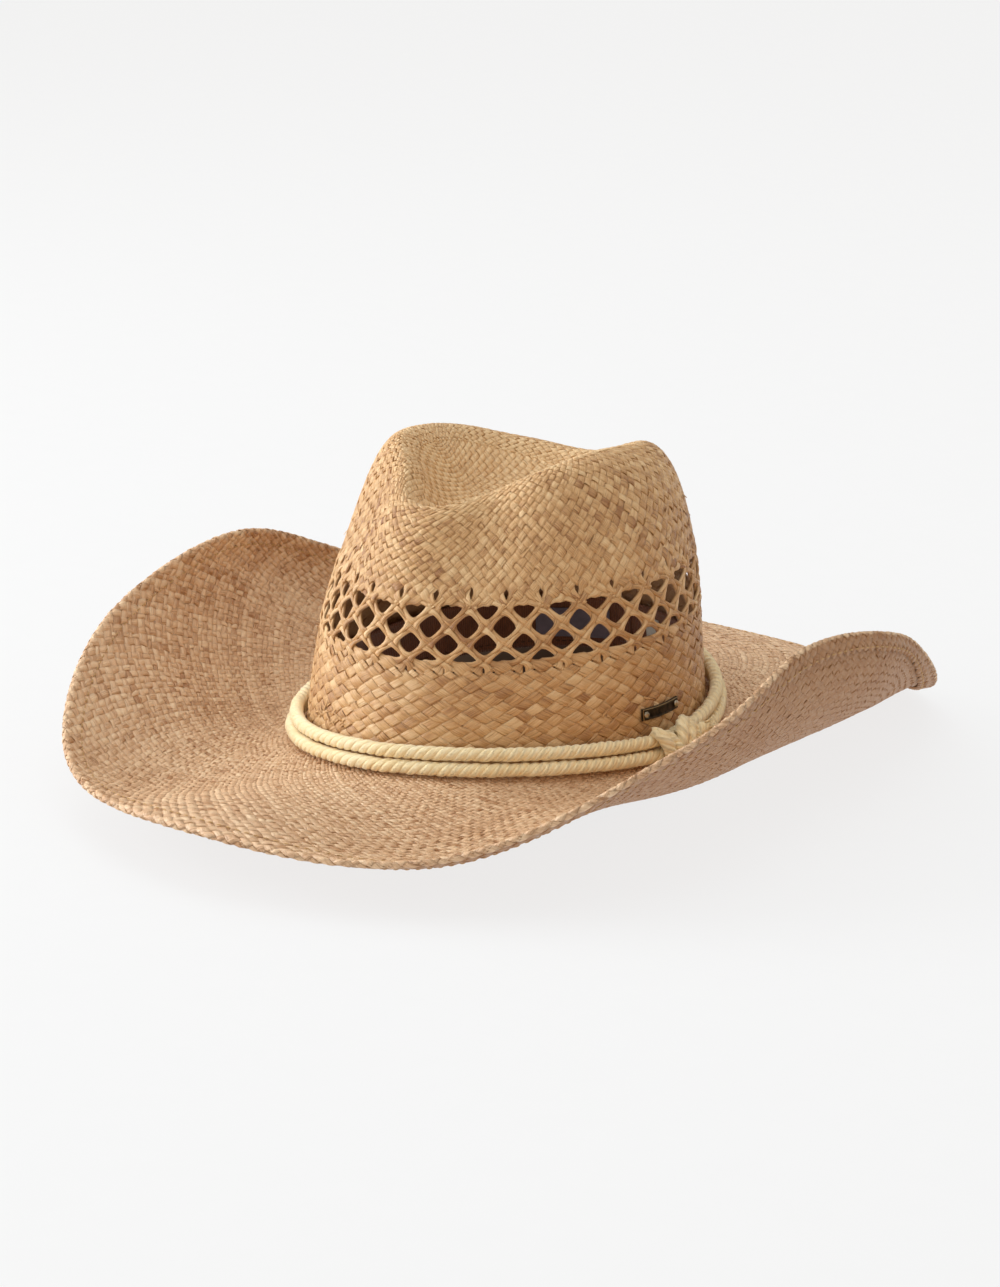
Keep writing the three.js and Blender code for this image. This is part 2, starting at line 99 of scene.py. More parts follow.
def brim(theta, s):
    """The brim, from the foot of the crown (s = 0) to its edge (s = 1)."""
    p0 = foot(theta)
    p1 = xyz(reach(theta) * np.cos(theta), reach(theta) * np.sin(theta), edge_z(theta))
    width = np.linalg.norm(p1 - p0, axis=-1) * BRIM_PULL
    out = p1 - p0
    out[..., 2] = 0
    out = unit(out)

    def lean(degrees):
        r = np.radians(degrees)
        return (out * np.cos(r)[..., None] + xyz(0 * r, 0 * r, np.sin(r))) * width[..., None]

    s = np.asarray(s)[..., None]
    return (p0 * (2 * s**3 - 3 * s**2 + 1) + lean(slope_in(theta)) * (s**3 - 2 * s**2 + s)
            + p1 * (3 * s**2 - 2 * s**3) + lean(slope_out(theta)) * (s**3 - s**2))


def wall(theta, v):
    """The side of the crown, from its foot (v = 0) to the ridge (v = 1), with two pinches at the front."""
    p0 = foot(theta)
    p3 = xyz(rim_r(theta) * np.cos(theta), rim_r(theta) * np.sin(theta) + RIM_Y, rim_z(theta))
    out = p0 - p3
    out[..., 2] = 0
    p1 = p0 - WALL_SPREAD * out
    p1[..., 2] += WALL_RISE * (p3 - p0)[..., 2]
    p2 = p3 + out * shoulder(theta)[..., None]
    p2[..., 2] -= RIM_SOFT
    v = np.asarray(v)[..., None]
    w = 1 - v
    p = p0 * w**3 + p1 * (3 * v * w * w) + p2 * (3 * v * v * w) + p3 * v**3
    inward = -unit(p * [1, 1, 0])
    for angle in PINCH_ANGLES:
        turn = theta - math.radians(angle)
        turn = np.arctan2(np.sin(turn), np.cos(turn)) / math.radians(PINCH_SPREAD)
        rise = (p[..., 2] - PINCH_HEIGHT) / PINCH_RISE
        p = p + inward * (PINCH_DEPTH * np.exp(-turn**2 - rise**2))[..., None]
    return p


def top(theta, rho):
    """The dented top, from its middle (rho = 0) to the ridge (rho = 1)."""
    edge = wall(theta, np.ones_like(theta))
    lift = np.sin(math.pi / 2 * np.maximum(rho, 0) ** valley(theta)) ** 2
    return xyz(edge[..., 0] * rho, CENTRE_Y + (edge[..., 1] - CENTRE_Y) * rho,
               CENTRE_Z + (edge[..., 2] - CENTRE_Z) * lift)


def top_normal(theta, rho, e):
    return unit(np.cross(top(theta + e, rho) - top(theta - e, rho), top(theta, rho - e) - top(theta, rho + e)))


def off(surface, theta, t, distance):
    """A point at a distance from a surface, on its outer or upper side, and the normal there."""
    e = 1e-3
    round_ = surface(theta + e, t) - surface(theta - e, t)
    along = surface(theta, t + e) - surface(theta, t - e)
    n = unit(np.cross(round_, along))
    return surface(theta, t) + n * np.asarray(distance)[..., None], n


def run_length(path):
    """Length along a line of points, at each of them."""
    return np.concatenate([[0], np.cumsum(np.linalg.norm(np.diff(path, axis=0), axis=-1))])


# ------------ meshes and materials
def make(name, verts, faces, smooth=None, **attributes):
    """A mesh object from millimetres in the hat's frame. faces is one or more arrays of corner
    numbers; each attribute has one value a vertex."""
    groups = faces if isinstance(faces, tuple) else (faces,)
    shading = smooth if isinstance(smooth, tuple) else (smooth,) * len(groups)
    groups = [np.asarray(g, np.int32) for g in groups]
    me = bpy.data.meshes.new(name)
    verts = (np.asarray(verts, float).reshape(-1, 3) + SHIFT) / 1000
    me.vertices.add(len(verts))
    me.vertices.foreach_set("co", verts.astype(np.float32).ravel())
    corners = np.concatenate([g.ravel() for g in groups])
    sizes = np.concatenate([np.full(len(g), g.shape[1], np.int32) for g in groups])
    me.loops.add(len(corners))
    me.loops.foreach_set("vertex_index", corners)
    me.polygons.add(len(sizes))
    me.polygons.foreach_set("loop_start", np.concatenate([[0], np.cumsum(sizes)[:-1]]).astype(np.int32))
    flags = [np.broadcast_to(bool(s) if np.ndim(s) == 0 else s, len(g)) for s, g in zip(shading, groups)]
    me.polygons.foreach_set("use_smooth", np.concatenate(flags))
    me.update(calc_edges=True)
    for key, values in attributes.items():
        values = np.asarray(values, np.float32)
        if values.ndim > 1 and values.shape[-1] == 3:
            me.attributes.new(key, "FLOAT_VECTOR", "POINT").data.foreach_set("vector", values.ravel())
        else:
            me.attributes.new(key, "FLOAT", "POINT").data.foreach_set("value", values.ravel())
    me.validate()
    obj = bpy.data.objects.new(name, me)
    bpy.context.scene.collection.objects.link(obj)
    return obj


class Look:
    """A small helper that builds one material's nodes."""

    def __init__(self, name, roughness=0.6, metallic=0.0, **sockets):
        self.material = bpy.data.materials.new(name)
        self.material.use_nodes = True
        self.nodes = self.material.node_tree.nodes
        self.links = self.material.node_tree.links
        self.shader = self.nodes["Principled BSDF"]
        self.shader.inputs["Roughness"].default_value = roughness
        self.shader.inputs["Metallic"].default_value = metallic
        for key, value in sockets.items():
            self.shader.inputs[key.replace("_", " ")].default_value = value

    def put(self, socket, value):
        if hasattr(value, "is_linked"):
            self.links.new(value, socket)
        else:
            socket.default_value = value

    def attribute(self, name, output="Vector"):
        n = self.nodes.new("ShaderNodeAttribute")
        n.attribute_name = name
        return n.outputs[output]

    def position(self):
        return self.nodes.new("ShaderNodeTexCoord").outputs["Object"]

    def scaled(self, vector, scale):
        n = self.nodes.new("ShaderNodeVectorMath")
        n.operation = "MULTIPLY"
        self.put(n.inputs[0], vector)
        n.inputs[1].default_value = scale
        return n.outputs[0]

    def split(self, vector, k):
        n = self.nodes.new("ShaderNodeSeparateXYZ")
        self.put(n.inputs[0], vector)
        return n.outputs[k]

    def noise(self, vector, scale=1.0, detail=3.0, rough=0.55):
        n = self.nodes.new("ShaderNodeTexNoise")
        self.put(n.inputs["Vector"], vector)
        n.inputs["Scale"].default_value = scale
        n.inputs["Detail"].default_value = detail
        n.inputs["Roughness"].default_value = rough
        return n.outputs["Fac"]

    def streaks(self, vector, scale, detail, rough):
        return self.noise(self.scaled(vector, scale), 1.0, detail, rough)

    def math(self, operation, a, b=0.0, c=0.0):
        n = self.nodes.new("ShaderNodeMath")
        n.operation = operation
        for socket, value in zip(n.inputs, (a, b, c)):
            self.put(socket, value)
        return n.outputs[0]

    def total(self, *parts, plus=0.0):
        """The sum of (value, weight) parts."""
        for value, weight in reversed(parts):
            plus = self.math("MULTIPLY_ADD", value, weight, plus)
        return plus

    def span(self, value, low, high, to_low=0.0, to_high=1.0):
        n = self.nodes.new("ShaderNodeMapRange")
        self.put(n.inputs[0], value)
        for socket, v in zip(list(n.inputs)[1:5], (low, high, to_low, to_high)):
            socket.default_value = v
        return n.outputs[0]

    def ramp(self, value, *stops):
        n = self.nodes.new("ShaderNodeValToRGB")
        self.put(n.inputs[0], value)
        elements = n.color_ramp.elements
        while len(elements) < len(stops):
            elements.new(0.5)
        for element, (place, colour) in zip(elements, stops):
            element.position = place
            element.color = (*colour, 1)
        return n.outputs[0]

    def mix(self, factor, a, b):
        n = self.nodes.new("ShaderNodeMix")
        n.data_type = "RGBA"
        self.put(n.inputs[0], factor)
        for socket, value in ((n.inputs[6], a), (n.inputs[7], b)):
            self.put(socket, value if hasattr(value, "is_linked") else (*value, 1))
        return n.outputs[2]

    def colour(self, value):
        self.put(self.shader.inputs["Base Color"], value)

    def roughness(self, value):
        self.put(self.shader.inputs["Roughness"], value)

    def bump(self, height, distance_mm, strength=1.0, under=None):
        n = self.nodes.new("ShaderNodeBump")
        n.inputs["Strength"].default_value = strength
        n.inputs["Distance"].default_value = distance_mm / 1000
        self.put(n.inputs["Height"], height)
        if under is not None:
            self.links.new(under, n.inputs["Normal"])
        self.links.new(n.outputs[0], self.shader.inputs["Normal"])
        return n.outputs[0]


def linear(hex_colour):
    """A screen colour in linear light."""
    c = [(hex_colour >> s & 255) / 255 for s in (16, 8, 0)]
    return [x / 12.92 if x < 0.04045 else ((x + 0.055) / 1.055) ** 2.4 for x in c]


def straw_look(name, pale, mid, deep):
    """Flat strips of straw: long fibres, painted shade in dark lines between the strips and on their
    undersides, and a satin gloss.
    """
    pale, mid, deep = map(linear, (pale, mid, deep))
    # darkest serves both the dark lines of the fibres and the painted shade where strips meet
    darkest = [c * 0.5 for c in deep]
    look = Look(name, roughness=0.45, Specular_IOR_Level=0.75)
    grain = look.attribute("grain")
    fibre = look.streaks(grain, (2.4, 0.07, 1), 5, 0.66)
    fine = look.streaks(grain, (8, 0.3, 1), 2, 0.5)
    blotch = look.streaks(grain, (0.3, 0.14, 1), 3, 0.6)
    broad = look.noise(look.position(), 24, 3, 0.6)
    tint = look.attribute("tint", "Fac")
    tone = look.total((fibre, 0.95), (blotch, 0.45), (tint, 0.42), (broad, 0.3), plus=-0.56)
    colour = look.ramp(tone, (0.18, deep), (0.48, mid), (0.8, pale))
    colour = look.mix(look.span(fibre, 0.30, 0.42, 0.6, 0.0), colour, darkest)
    # painted shade: dark where strips meet, and deeper on their undersides and on the brim's turned-under hem
    edge = look.attribute("edge", "Fac")
    colour = look.mix(look.span(edge, 0.8, 1.3, 0.0, 0.4), colour, darkest)
    colour = look.mix(look.span(edge, 1.35, 1.55, 0.0, 0.62), colour, deep)
    look.colour(colour)
    look.roughness(look.span(fine, 0.3, 0.7, 0.36, 0.6))
    first = look.bump(fibre, 0.6, 0.8)
    look.bump(fine, 0.16, 0.6, first)
    return look.material


# ------------ camera and light
AZIMUTH, ELEVATION, DISTANCE = math.radians(38), math.radians(17.5), 1700
FOCAL = 2.195 * DISTANCE          # in widths of a thousandth of the frame
OFF_X, OFF_Y = 8.1, 59.9          # where the foot of the crown shows, from the frame's middle
SENSOR = 36
# the world and the lamps: name, azimuth, elevation, distance, watts, colour; lengths here are in metres
WORLD_COLOUR, WORLD_STRENGTH = (1, 0.96, 0.91, 1), 0.6
LAMP_SIZE, LAMP_AIM = 1.2, 0.07
LAMPS = (
    ("left", -60, 15, 1.8, 34, (0.93, 0.97, 1)),
    ("front", 10, 12, 1.8, 2, (1, 1, 1)),
    ("top", 38, 88, 1.7, 7, (0.87, 0.95, 1)),
    ("rear", -100, 50, 1.8, 7, (0.87, 0.95, 1)),
)
# the floor, and the round zone under the crown where a shadow is painted on it
FLOOR_HALF, FLOOR_GLOW = 6.0, 0.79
PAINTED_SHADOW_AT, PAINTED_SHADOW_IN, PAINTED_SHADOW_OUT = (-0.062, 0.078), 0.1, 0.14


def aimed(azimuth, elevation):
    """Axes (right, up, back) of a thing that looks at the hat from there."""
    flat = math.cos(elevation)
    back = np.array([math.sin(azimuth) * flat, -math.cos(azimuth) * flat, math.sin(elevation)])
    right = np.array([math.cos(azimuth), math.sin(azimuth), 0])
    return right, np.cross(back, right), back


def put_at(obj, right, up, back, place):
    obj.matrix_world = Matrix([[right[i], up[i], back[i], place[i]] for i in range(3)] + [[0, 0, 0, 1]])
    bpy.context.scene.collection.objects.link(obj)


def camera():
    right, up, back = aimed(AZIMUTH, ELEVATION)
    place = back * DISTANCE - right * OFF_X / FOCAL * DISTANCE + up * OFF_Y / FOCAL * DISTANCE
    data = bpy.data.cameras.new("view")
    data.sensor_fit, data.sensor_width, data.lens = "HORIZONTAL", SENSOR, FOCAL * SENSOR / 1000
    data.clip_start, data.clip_end = 0.05, 50
    cam = bpy.data.objects.new("view", data)
    put_at(cam, right, up, back, (place + SHIFT) / 1000)
    bpy.context.scene.camera = cam


def lamp(name, azimuth, elevation, distance, watts, colour):
    data = bpy.data.lights.new(name, "AREA")
    data.energy, data.size, data.color = watts, LAMP_SIZE, colour
    right, up, back = aimed(math.radians(azimuth), math.radians(elevation))
    put_at(bpy.data.objects.new(name, data), right, up, back, back * distance + [0, 0, LAMP_AIM])


def studio():
    """Soft light from four sides and a pale paper floor that glows evenly, with a painted shadow under the
    crown.
    """
    scene = bpy.context.scene
    scene.view_settings.view_transform = "Standard"
    world = bpy.data.worlds.new("studio")
    scene.world = world
    world.use_nodes = True
    world.node_tree.nodes["Background"].inputs[0].default_value = WORLD_COLOUR
    world.node_tree.nodes["Background"].inputs[1].default_value = WORLD_STRENGTH
    for row in LAMPS:
        lamp(*row)
    me = bpy.data.meshes.new("floor")
    corners = [(FLOOR_HALF * x, FLOOR_HALF * y, 0) for x, y in ((-1, -1), (1, -1), (1, 1), (-1, 1))]
    me.from_pydata(corners, [], [(0, 1, 2, 3)])
    floor = bpy.data.objects.new("floor", me)
    scene.collection.objects.link(floor)
    look = Look("floor_paper", roughness=0.9, Emission_Strength=FLOOR_GLOW)
    # the paper glows softly and evenly, except for a painted shadow where the crown stands over it, where the
    # glow fades to a dim brown
    place = look.position()
    x, y = (look.math("SUBTRACT", look.split(place, k), PAINTED_SHADOW_AT[k]) for k in (0, 1))
    away = look.math("SQRT", look.math("ADD", look.math("MULTIPLY", x, x), look.math("MULTIPLY", y, y)))
    look.put(look.shader.inputs["Emission Color"], look.ramp(
        away, (PAINTED_SHADOW_IN, (0.02, 0.01, 0.005)), (PAINTED_SHADOW_OUT, (1, 1, 1))))
    grain = look.noise(look.position(), 60, 3)
    paper = look.mix(grain, (0.09, 0.09, 0.09), (0.1, 0.1, 0.1))
    # painted shadow: under the crown the paper is dark brown, for the shade and the brownish light bounced
    # about inside the hat
    look.colour(look.mix(look.span(away, PAINTED_SHADOW_IN, PAINTED_SHADOW_OUT), (0.1, 0.05, 0.02), paper))
    me.materials.append(look.material)


# ------------ simple closed shapes
def smooth_path(points, spacing):
    """A Catmull-Rom curve through points, resampled at an even spacing."""
    p = np.asarray(points, float)
    p = np.concatenate([[2 * p[0] - p[1]], p, [2 * p[-1] - p[-2]]])
    t = np.linspace(0, len(p) - 3, 40 * (len(p) - 3) + 1)
    i = np.minimum(t.astype(int), len(p) - 4)
    line = catmull(*(p[i + k] for k in range(4)), (t - i)[:, None])
    length = run_length(line)
    at = np.linspace(0, length[-1], max(int(length[-1] / spacing), 3))
    return np.stack([np.interp(at, length, line[:, k]) for k in range(3)], -1)


def bands(a, b):
    """Quads between closed rings of corner numbers and the rings after them."""
    return np.stack([a, np.roll(a, -1, -1), np.roll(b, -1, -1), b], -1).reshape(-1, 4)


def tube(path, side, wide, high, sides=8, seed=0.0):
    """A closed tube: its section is wide along side and high across it. Both may change on the way."""
    t = unit(np.gradient(path, axis=0))
    a = unit(side - (side * t).sum(-1, keepdims=True) * t)
    b = np.cross(t, a)
    psi = np.arange(sides) / sides * TAU
    wide, high = (np.broadcast_to(np.asarray(w, float), len(path))[:, None, None] for w in (wide, high))
    ring = (path[:, None] + wide * np.cos(psi)[None, :, None] * a[:, None]
            + high * np.sin(psi)[None, :, None] * b[:, None])
    n = len(path)
    index = np.arange(n * sides).reshape(n, sides)
    quads = bands(index[:-1], index[1:])
    caps = np.array([(index[0, 0], index[0, k + 1], index[0, k]) for k in range(1, sides - 1)]
                    + [(index[-1, 0], index[-1, k], index[-1, k + 1]) for k in range(1, sides - 1)])
    grain = np.stack(np.broadcast_arrays(psi[None] * float(wide.mean()), run_length(path)[:, None], seed), -1)
    return (ring.reshape(-1, 3), quads, caps, np.ones(len(quads), bool), grain.reshape(-1, 3),
            np.full(n * sides, 0.5), np.zeros(n * sides))


def slab(upper, lower):
    """A closed shape between two grids of points."""
    n, m = upper.shape[:2]
    top_, low = np.arange(n * m).reshape(n, m), np.arange(n * m, 2 * n * m).reshape(n, m)

    def sheet(g):
        return np.stack([g[:-1, :-1], g[1:, :-1], g[1:, 1:], g[:-1, 1:]], -1).reshape(-1, 4)

    def border(a, b):
        return np.stack([a[:-1], b[:-1], b[1:], a[1:]], -1)

    quads = [sheet(top_), sheet(low)[:, ::-1], border(top_[:, 0], low[:, 0]),
             border(top_[:, -1], low[:, -1])[:, ::-1], border(top_[0], low[0])[:, ::-1],
             border(top_[-1], low[-1])]
    return np.concatenate([upper.reshape(-1, 3), lower.reshape(-1, 3)]), np.concatenate(quads)


def joined(parts):
    """Joins (vertices, quads, triangles, ...) lists, renumbering the faces."""
    start, out = 0, [[] for _ in parts[0]]
    for part in parts:
        for k, values in enumerate(part):
            out[k].append(values + start if k in (1, 2) else values)
        start += len(part[0])
    return [np.concatenate(values) for values in out]


def dress(obj, look, body):
    obj.data.materials.append(look)
    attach(obj, body)
    return obj


def solid(name, look, body, parts):
    """Joins strips or tubes into one piece."""
    verts, quads, caps, smooth, grain, tint, edge = joined(parts)
    obj = make(name, verts, (quads, caps), (smooth, False), grain=grain, tint=tint, edge=edge)
    return dress(obj, look, body)


# ------------ plaited straw
STRAW_THICK, STRAW_WAVE = 0.5, 0.45
SNAP = 0.75                         # below 1 a strip changes sides more quickly between its crossings
DOME, DOME_TIGHT = 0.15, 0.55       # how far the middle of a strip stands out, and more where it is drawn in
WIDTH_VARIES, HEIGHT_VARIES, ROLL_VARIES, TINT_VARIES = 0.02, 0.05, 0.13, 0.18
UNDERSIDE = 1.6                     # value of the edge attribute on the undersides of strips, which straw_look paints in shade


def gathered(x, group, squeeze):
    """Draws the strips of each group together: 1 leaves them evenly spaced."""
    if group == 1:
        return x
    half = (group - 1) / 2
    middle = group * np.floor((x + 0.5) / group) + half
    d = x - middle
    side = np.sign(d)
    beyond = np.abs(d) - half
    inner = d * squeeze
    outer = side * (half * squeeze + beyond * (group - squeeze * (group - 1)))
    return middle + np.where(beyond > 0, outer, inner)


def family(hand, count, first, last, place, step=4, across=4, group=1, squeeze=None, fill=0.95,
           turn=0.0, thick=STRAW_THICK, wave=STRAW_WAVE, wobble=0.09, seed=1, sink=None, lift=None,
           turned=1e9, shares=1):
    """One family of strips, running one way round. place(theta, row, height) gives points and normals;
    rows of crossings lie at whole numbers. Returns vertices, faces and attributes, once for each share."""
    r = np.random.default_rng(seed)
    rows = np.arange(math.ceil(first * step), math.floor(last * step) + 1) / step + 0.5 / step
    rows = rows[rows <= last]
    n = len(rows)
    i = np.arange(count)[:, None, None]
    row = rows[None, :, None]
    q = i + row                                   # position counted across the other family
    side = np.linspace(-0.5, 0.5, across)[None, None, :]
    if squeeze:
        middle = group * (i // group) + (group - 1) / 2
        tightness = squeeze(gathered(q, group, 0.5) - middle)
    else:
        tightness = np.ones((count, n, 1))
    # slow random changes along each strip, and borders that neighbouring strips share
    whole = int(math.ceil(last - first)) + 4

    def slow(values, at):
        k = np.clip(at, 0, whole - 1.001)
        j = k.astype(int)
        f = (k - j)[..., None]
        lane = np.arange(count)[:, None]
        return values[lane, j] * (1 - f) + values[lane, j + 1] * f

    knots = r.normal(size=(count, whole + 1, 4))
    border = r.normal(size=(count, whole + 1, 1)) * 0.6 + r.normal(size=(count, 1, 1)) * 0.6
    border = np.clip(border, -1.6, 1.6)
    strip = r.normal(size=(count, 1, 4))
    place_in = np.broadcast_to(rows - first + 1, (count, n))
    drift = slow(knots, place_in)
    right = slow(border, place_in - 0.5) * wobble * tightness
    left = slow(np.roll(border, 1, 0), place_in + 0.5) * wobble * tightness
    width = (fill + WIDTH_VARIES * drift[..., :1] - WIDTH_VARIES * np.abs(strip[..., :1]) + right
             - left) * np.where(tightness < 1, tightness ** 0.9, 1)
    p = gathered(i + 0 * row, group, tightness) + (right + left) / 2 + side * width
    cross = gathered(q, group, tightness) + 0 * side
    theta = hand * ((p + cross) / 2 * TAU / count + math.radians(turn))
    level = cross - p
    phase = np.cos(math.pi * row)
    phase = np.sign(phase) * np.abs(phase) ** SNAP
    plump = 1 - tightness
    dome = (DOME + DOME_TIGHT * plump) * (1 - (2 * side) ** 2)
    height = (hand * wave * phase * (1 + 0.5 * plump) + HEIGHT_VARIES * drift[..., 1:2]
              + ROLL_VARIES * drift[..., 2:3] * side + dome)
    if sink is not None:
        height = height - sink(level)
    half = (thick / 2 * (1 + 0.5 * plump)) + 0 * height
    up, _ = place(theta, level, height + half)
    ends = [0, -1]
    down, _ = place(theta[..., ends], level[..., ends], height[..., ends] - half[..., ends])
    ring = np.concatenate([up, down[..., ::-1, :]], axis=2)
    middle = up[:, :, across // 2]
    length = np.cumsum(np.linalg.norm(np.diff(middle, axis=1, prepend=middle[:, :1]), axis=-1), 1)
    span = np.linalg.norm(up[:, :, -1] - up[:, :, 0], axis=-1)
    sides = np.concatenate([side[0, 0], side[0, 0, [-1, 0]]])
    grain = np.stack([sides * span[..., None] + strip[..., 2:3] * 40 + 50 * i, length[..., None] + 0 * sides,
                      strip[..., 3:4] * 20 + 0 * sides + 0 * length[..., None]], -1)
    tint = 0.5 + TINT_VARIES * strip[..., 0:1] + TINT_VARIES * drift[..., 3:4] + 0 * sides
    edge = np.abs(2 * sides) + 0 * tint
    # painted shade: the undersides of the strips, and past turned the faces folded under the brim's edge, take
    # the UNDERSIDE value that straw_look paints deep
    edge[..., across:] = UNDERSIDE
    edge[..., :across] = np.where(level > turned, UNDERSIDE, edge[..., :across])
    # painted sheen: lift adds to the tint where a caller paints the plait paler
    if lift is not None:
        tint = tint + lift(level[..., :1])
    bounds = np.linspace(0, count, shares + 1).astype(int)
    return [strip_faces(hand, across, *(w[low:high] for w in (ring, grain, tint, edge)))
            for low, high in zip(bounds[:-1], bounds[1:])]


def strip_faces(hand, across, ring, grain, tint, edge):
    """Closed ribbons from their rings of points, the first across of which are the upper side."""
    count, n, m = ring.shape[:3]
    index = np.arange(count * n * m).reshape(count, n, m)
    quads = bands(index[:, :-1], index[:, 1:])
    smooth = np.tile(np.arange(m) < across - 1, count * (n - 1))
    fans = [(0, k, k + 1) for k in range(1, m - 1)]
    caps = np.concatenate([index[:, 0][:, f[::-1]] for f in fans] + [index[:, -1][:, f] for f in fans])
    if hand < 0:
        quads, caps = quads[:, ::-1], caps[:, ::-1]
    return ring.reshape(-1, 3), quads, caps, smooth, grain.reshape(-1, 3), tint.ravel(), edge.ravel()


def woven(name, look, parts):
    return solid(name, look, "hat", parts)


def row_scale(surface, count, steepness=1.0, samples=160):
    """How many rows of crossings fit along t = 0 to 1, as two matching lists (t, rows)."""
    t = np.linspace(0, 1, samples)
    theta = np.linspace(0, TAU, 72, endpoint=False)
    p = surface(theta[None, :] + 0 * t[:, None], t[:, None] + 0 * theta[None, :])
    speed = np.linalg.norm(np.diff(p, axis=0), axis=-1).mean(1)
    around_ = np.linalg.norm(np.diff(p, axis=1, append=p[:, :1]), axis=-1).sum(1)
    pitch = (around_[1:] + around_[:-1]) / 2 / count / 2 * steepness
    return t, np.concatenate([[0], np.cumsum(speed / pitch)])


BRIM_COUNT = 200                    # strips in each family
BRIM_SHARES = 4                     # pieces that each family is cut into, to keep them small
BRIM_STEEP = 0.72                   # height of a crossing against its width
WIDTH_STEPS = 24
_angles = np.linspace(0, TAU, 361)
_shares = np.linspace(0, 1, WIDTH_STEPS + 1)
_line = brim(_angles[:, None] + 0 * _shares, _shares + 0 * _angles[:, None])
_brim_width = np.linalg.norm(np.diff(_line, axis=1), axis=-1).sum(1)


def brim_width(theta):
    return np.interp(np.asarray(theta) % TAU, _angles, _brim_width)


FOLD_R = 1.05                       # radius of the fold at the brim's edge


def edge_path(theta, u, height):
    """Past the brim's edge the plait turns under: u is the length left to the fold, negative beyond it."""
    half_turn = math.pi * FOLD_R
    s_top = 1 - (u + FOLD_R) / brim_width(theta)
    bend_ = np.clip(-u / half_turn, 0, 1) * math.pi
    back = np.maximum(-u - half_turn, 0)
    s = np.where(u > 0, s_top, 1 - FOLD_R / brim_width(theta))
    under = np.where(back > 0, 1 - (FOLD_R + back) / brim_width(theta), s)
    p, n = off(brim, theta, under, 0.0 * theta)
    n = -n
    e = 2e-3
    ahead = unit(brim(theta, under + e) - brim(theta, under - e))
    lean = n * np.cos(bend_)[..., None] + ahead * np.sin(bend_)[..., None]
    centre = p - n * FOLD_R
    spot = centre + lean * (FOLD_R + height)[..., None]
    flat = p + n * np.asarray(height)[..., None]
    return np.where((u > 0)[..., None], flat, spot), lean


def brim_straw(look):
    """The brim in two families of strips, which run on round the fold and make the hem."""
    t, rows = row_scale(brim, BRIM_COUNT, BRIM_STEEP)
    rate = (rows[-1] - rows[-8]) / ((t[-1] - t[-8]) * _brim_width.mean())   # rows a millimetre at the edge
    end = rows[-1] + (HEM_WIDTH + 0.6) * rate

    def place(theta, level, height):
        s = np.interp(level, rows, t)
        past = np.maximum(level - rows[-1], 0) / rate
        left = np.where(level < rows[-1], (1 - s) * brim_width(theta), 0) - FOLD_R - past
        return edge_path(theta, left, height)

    pieces = []
    for hand, side in ((1, "left"), (-1, "right")):
        # turned: past the fold the hem's strips face down and are painted in shade as undersides
        data = family(hand, BRIM_COUNT, 0, end, place, step=3, across=3, fill=1.0, thick=0.42, wave=0.32,
                      wobble=0.2, seed=11 + hand, shares=BRIM_SHARES, turned=rows[-1] + 1,
                      sink=lambda level: 0.55 * smooth_step(level, end - 0.6, end))
        pieces += [woven(f"brim_straw_{side}_{k}", look, [share]) for k, share in enumerate(data)]
    return pieces


VENT_ROWS_Z = [42.4, 48.0, 54.4, 62.0, 69.6, 77.0]   # height of each row of knots of the open band
WALL_COUNT, UPPER_COUNT = 60, 90    # strips in each family below and above it
_grid_theta = np.linspace(0, TAU, 361)
_grid_v = np.linspace(0, 1, 201)
_grid_z = wall(_grid_theta[:, None] + 0 * _grid_v, _grid_v + 0 * _grid_theta[:, None])[..., 2]


def level_to_v(theta, z):
    """Share of the wall's length at a height, by table."""
    low, high = np.zeros(np.shape(theta)), np.full(np.shape(theta), 0.97)
    a = (theta % TAU) / TAU * 360
    i = np.minimum(a.astype(int), 359)
    f = a - i
    for _ in range(14):
        mid = (low + high) / 2
        m = mid * 200
        j = np.minimum(m.astype(int), 199)
        g = m - j
        height = ((_grid_z[i, j] * (1 - g) + _grid_z[i, j + 1] * g) * (1 - f)
                  + (_grid_z[i + 1, j] * (1 - g) + _grid_z[i + 1, j + 1] * g) * f)
        below = height < z
        low, high = np.where(below, mid, low), np.where(below, high, mid)
    return (low + high) / 2


def smooth_step(x, low, high):
    t = np.clip((x - low) / (high - low), 0, 1)
    return t * t * (3 - 2 * t)


LOWER_PITCH = 2.9        # height of a row of crossings on the lower wall
SINK = 0.95              # middle of the plait lies this far inside the crown's outer face
KNOT_ROWS = len(VENT_ROWS_Z)
VENT_TIGHT, VENT_WIDER = 0.27, 0.29     # width of the pairs half way between knots, and added at them


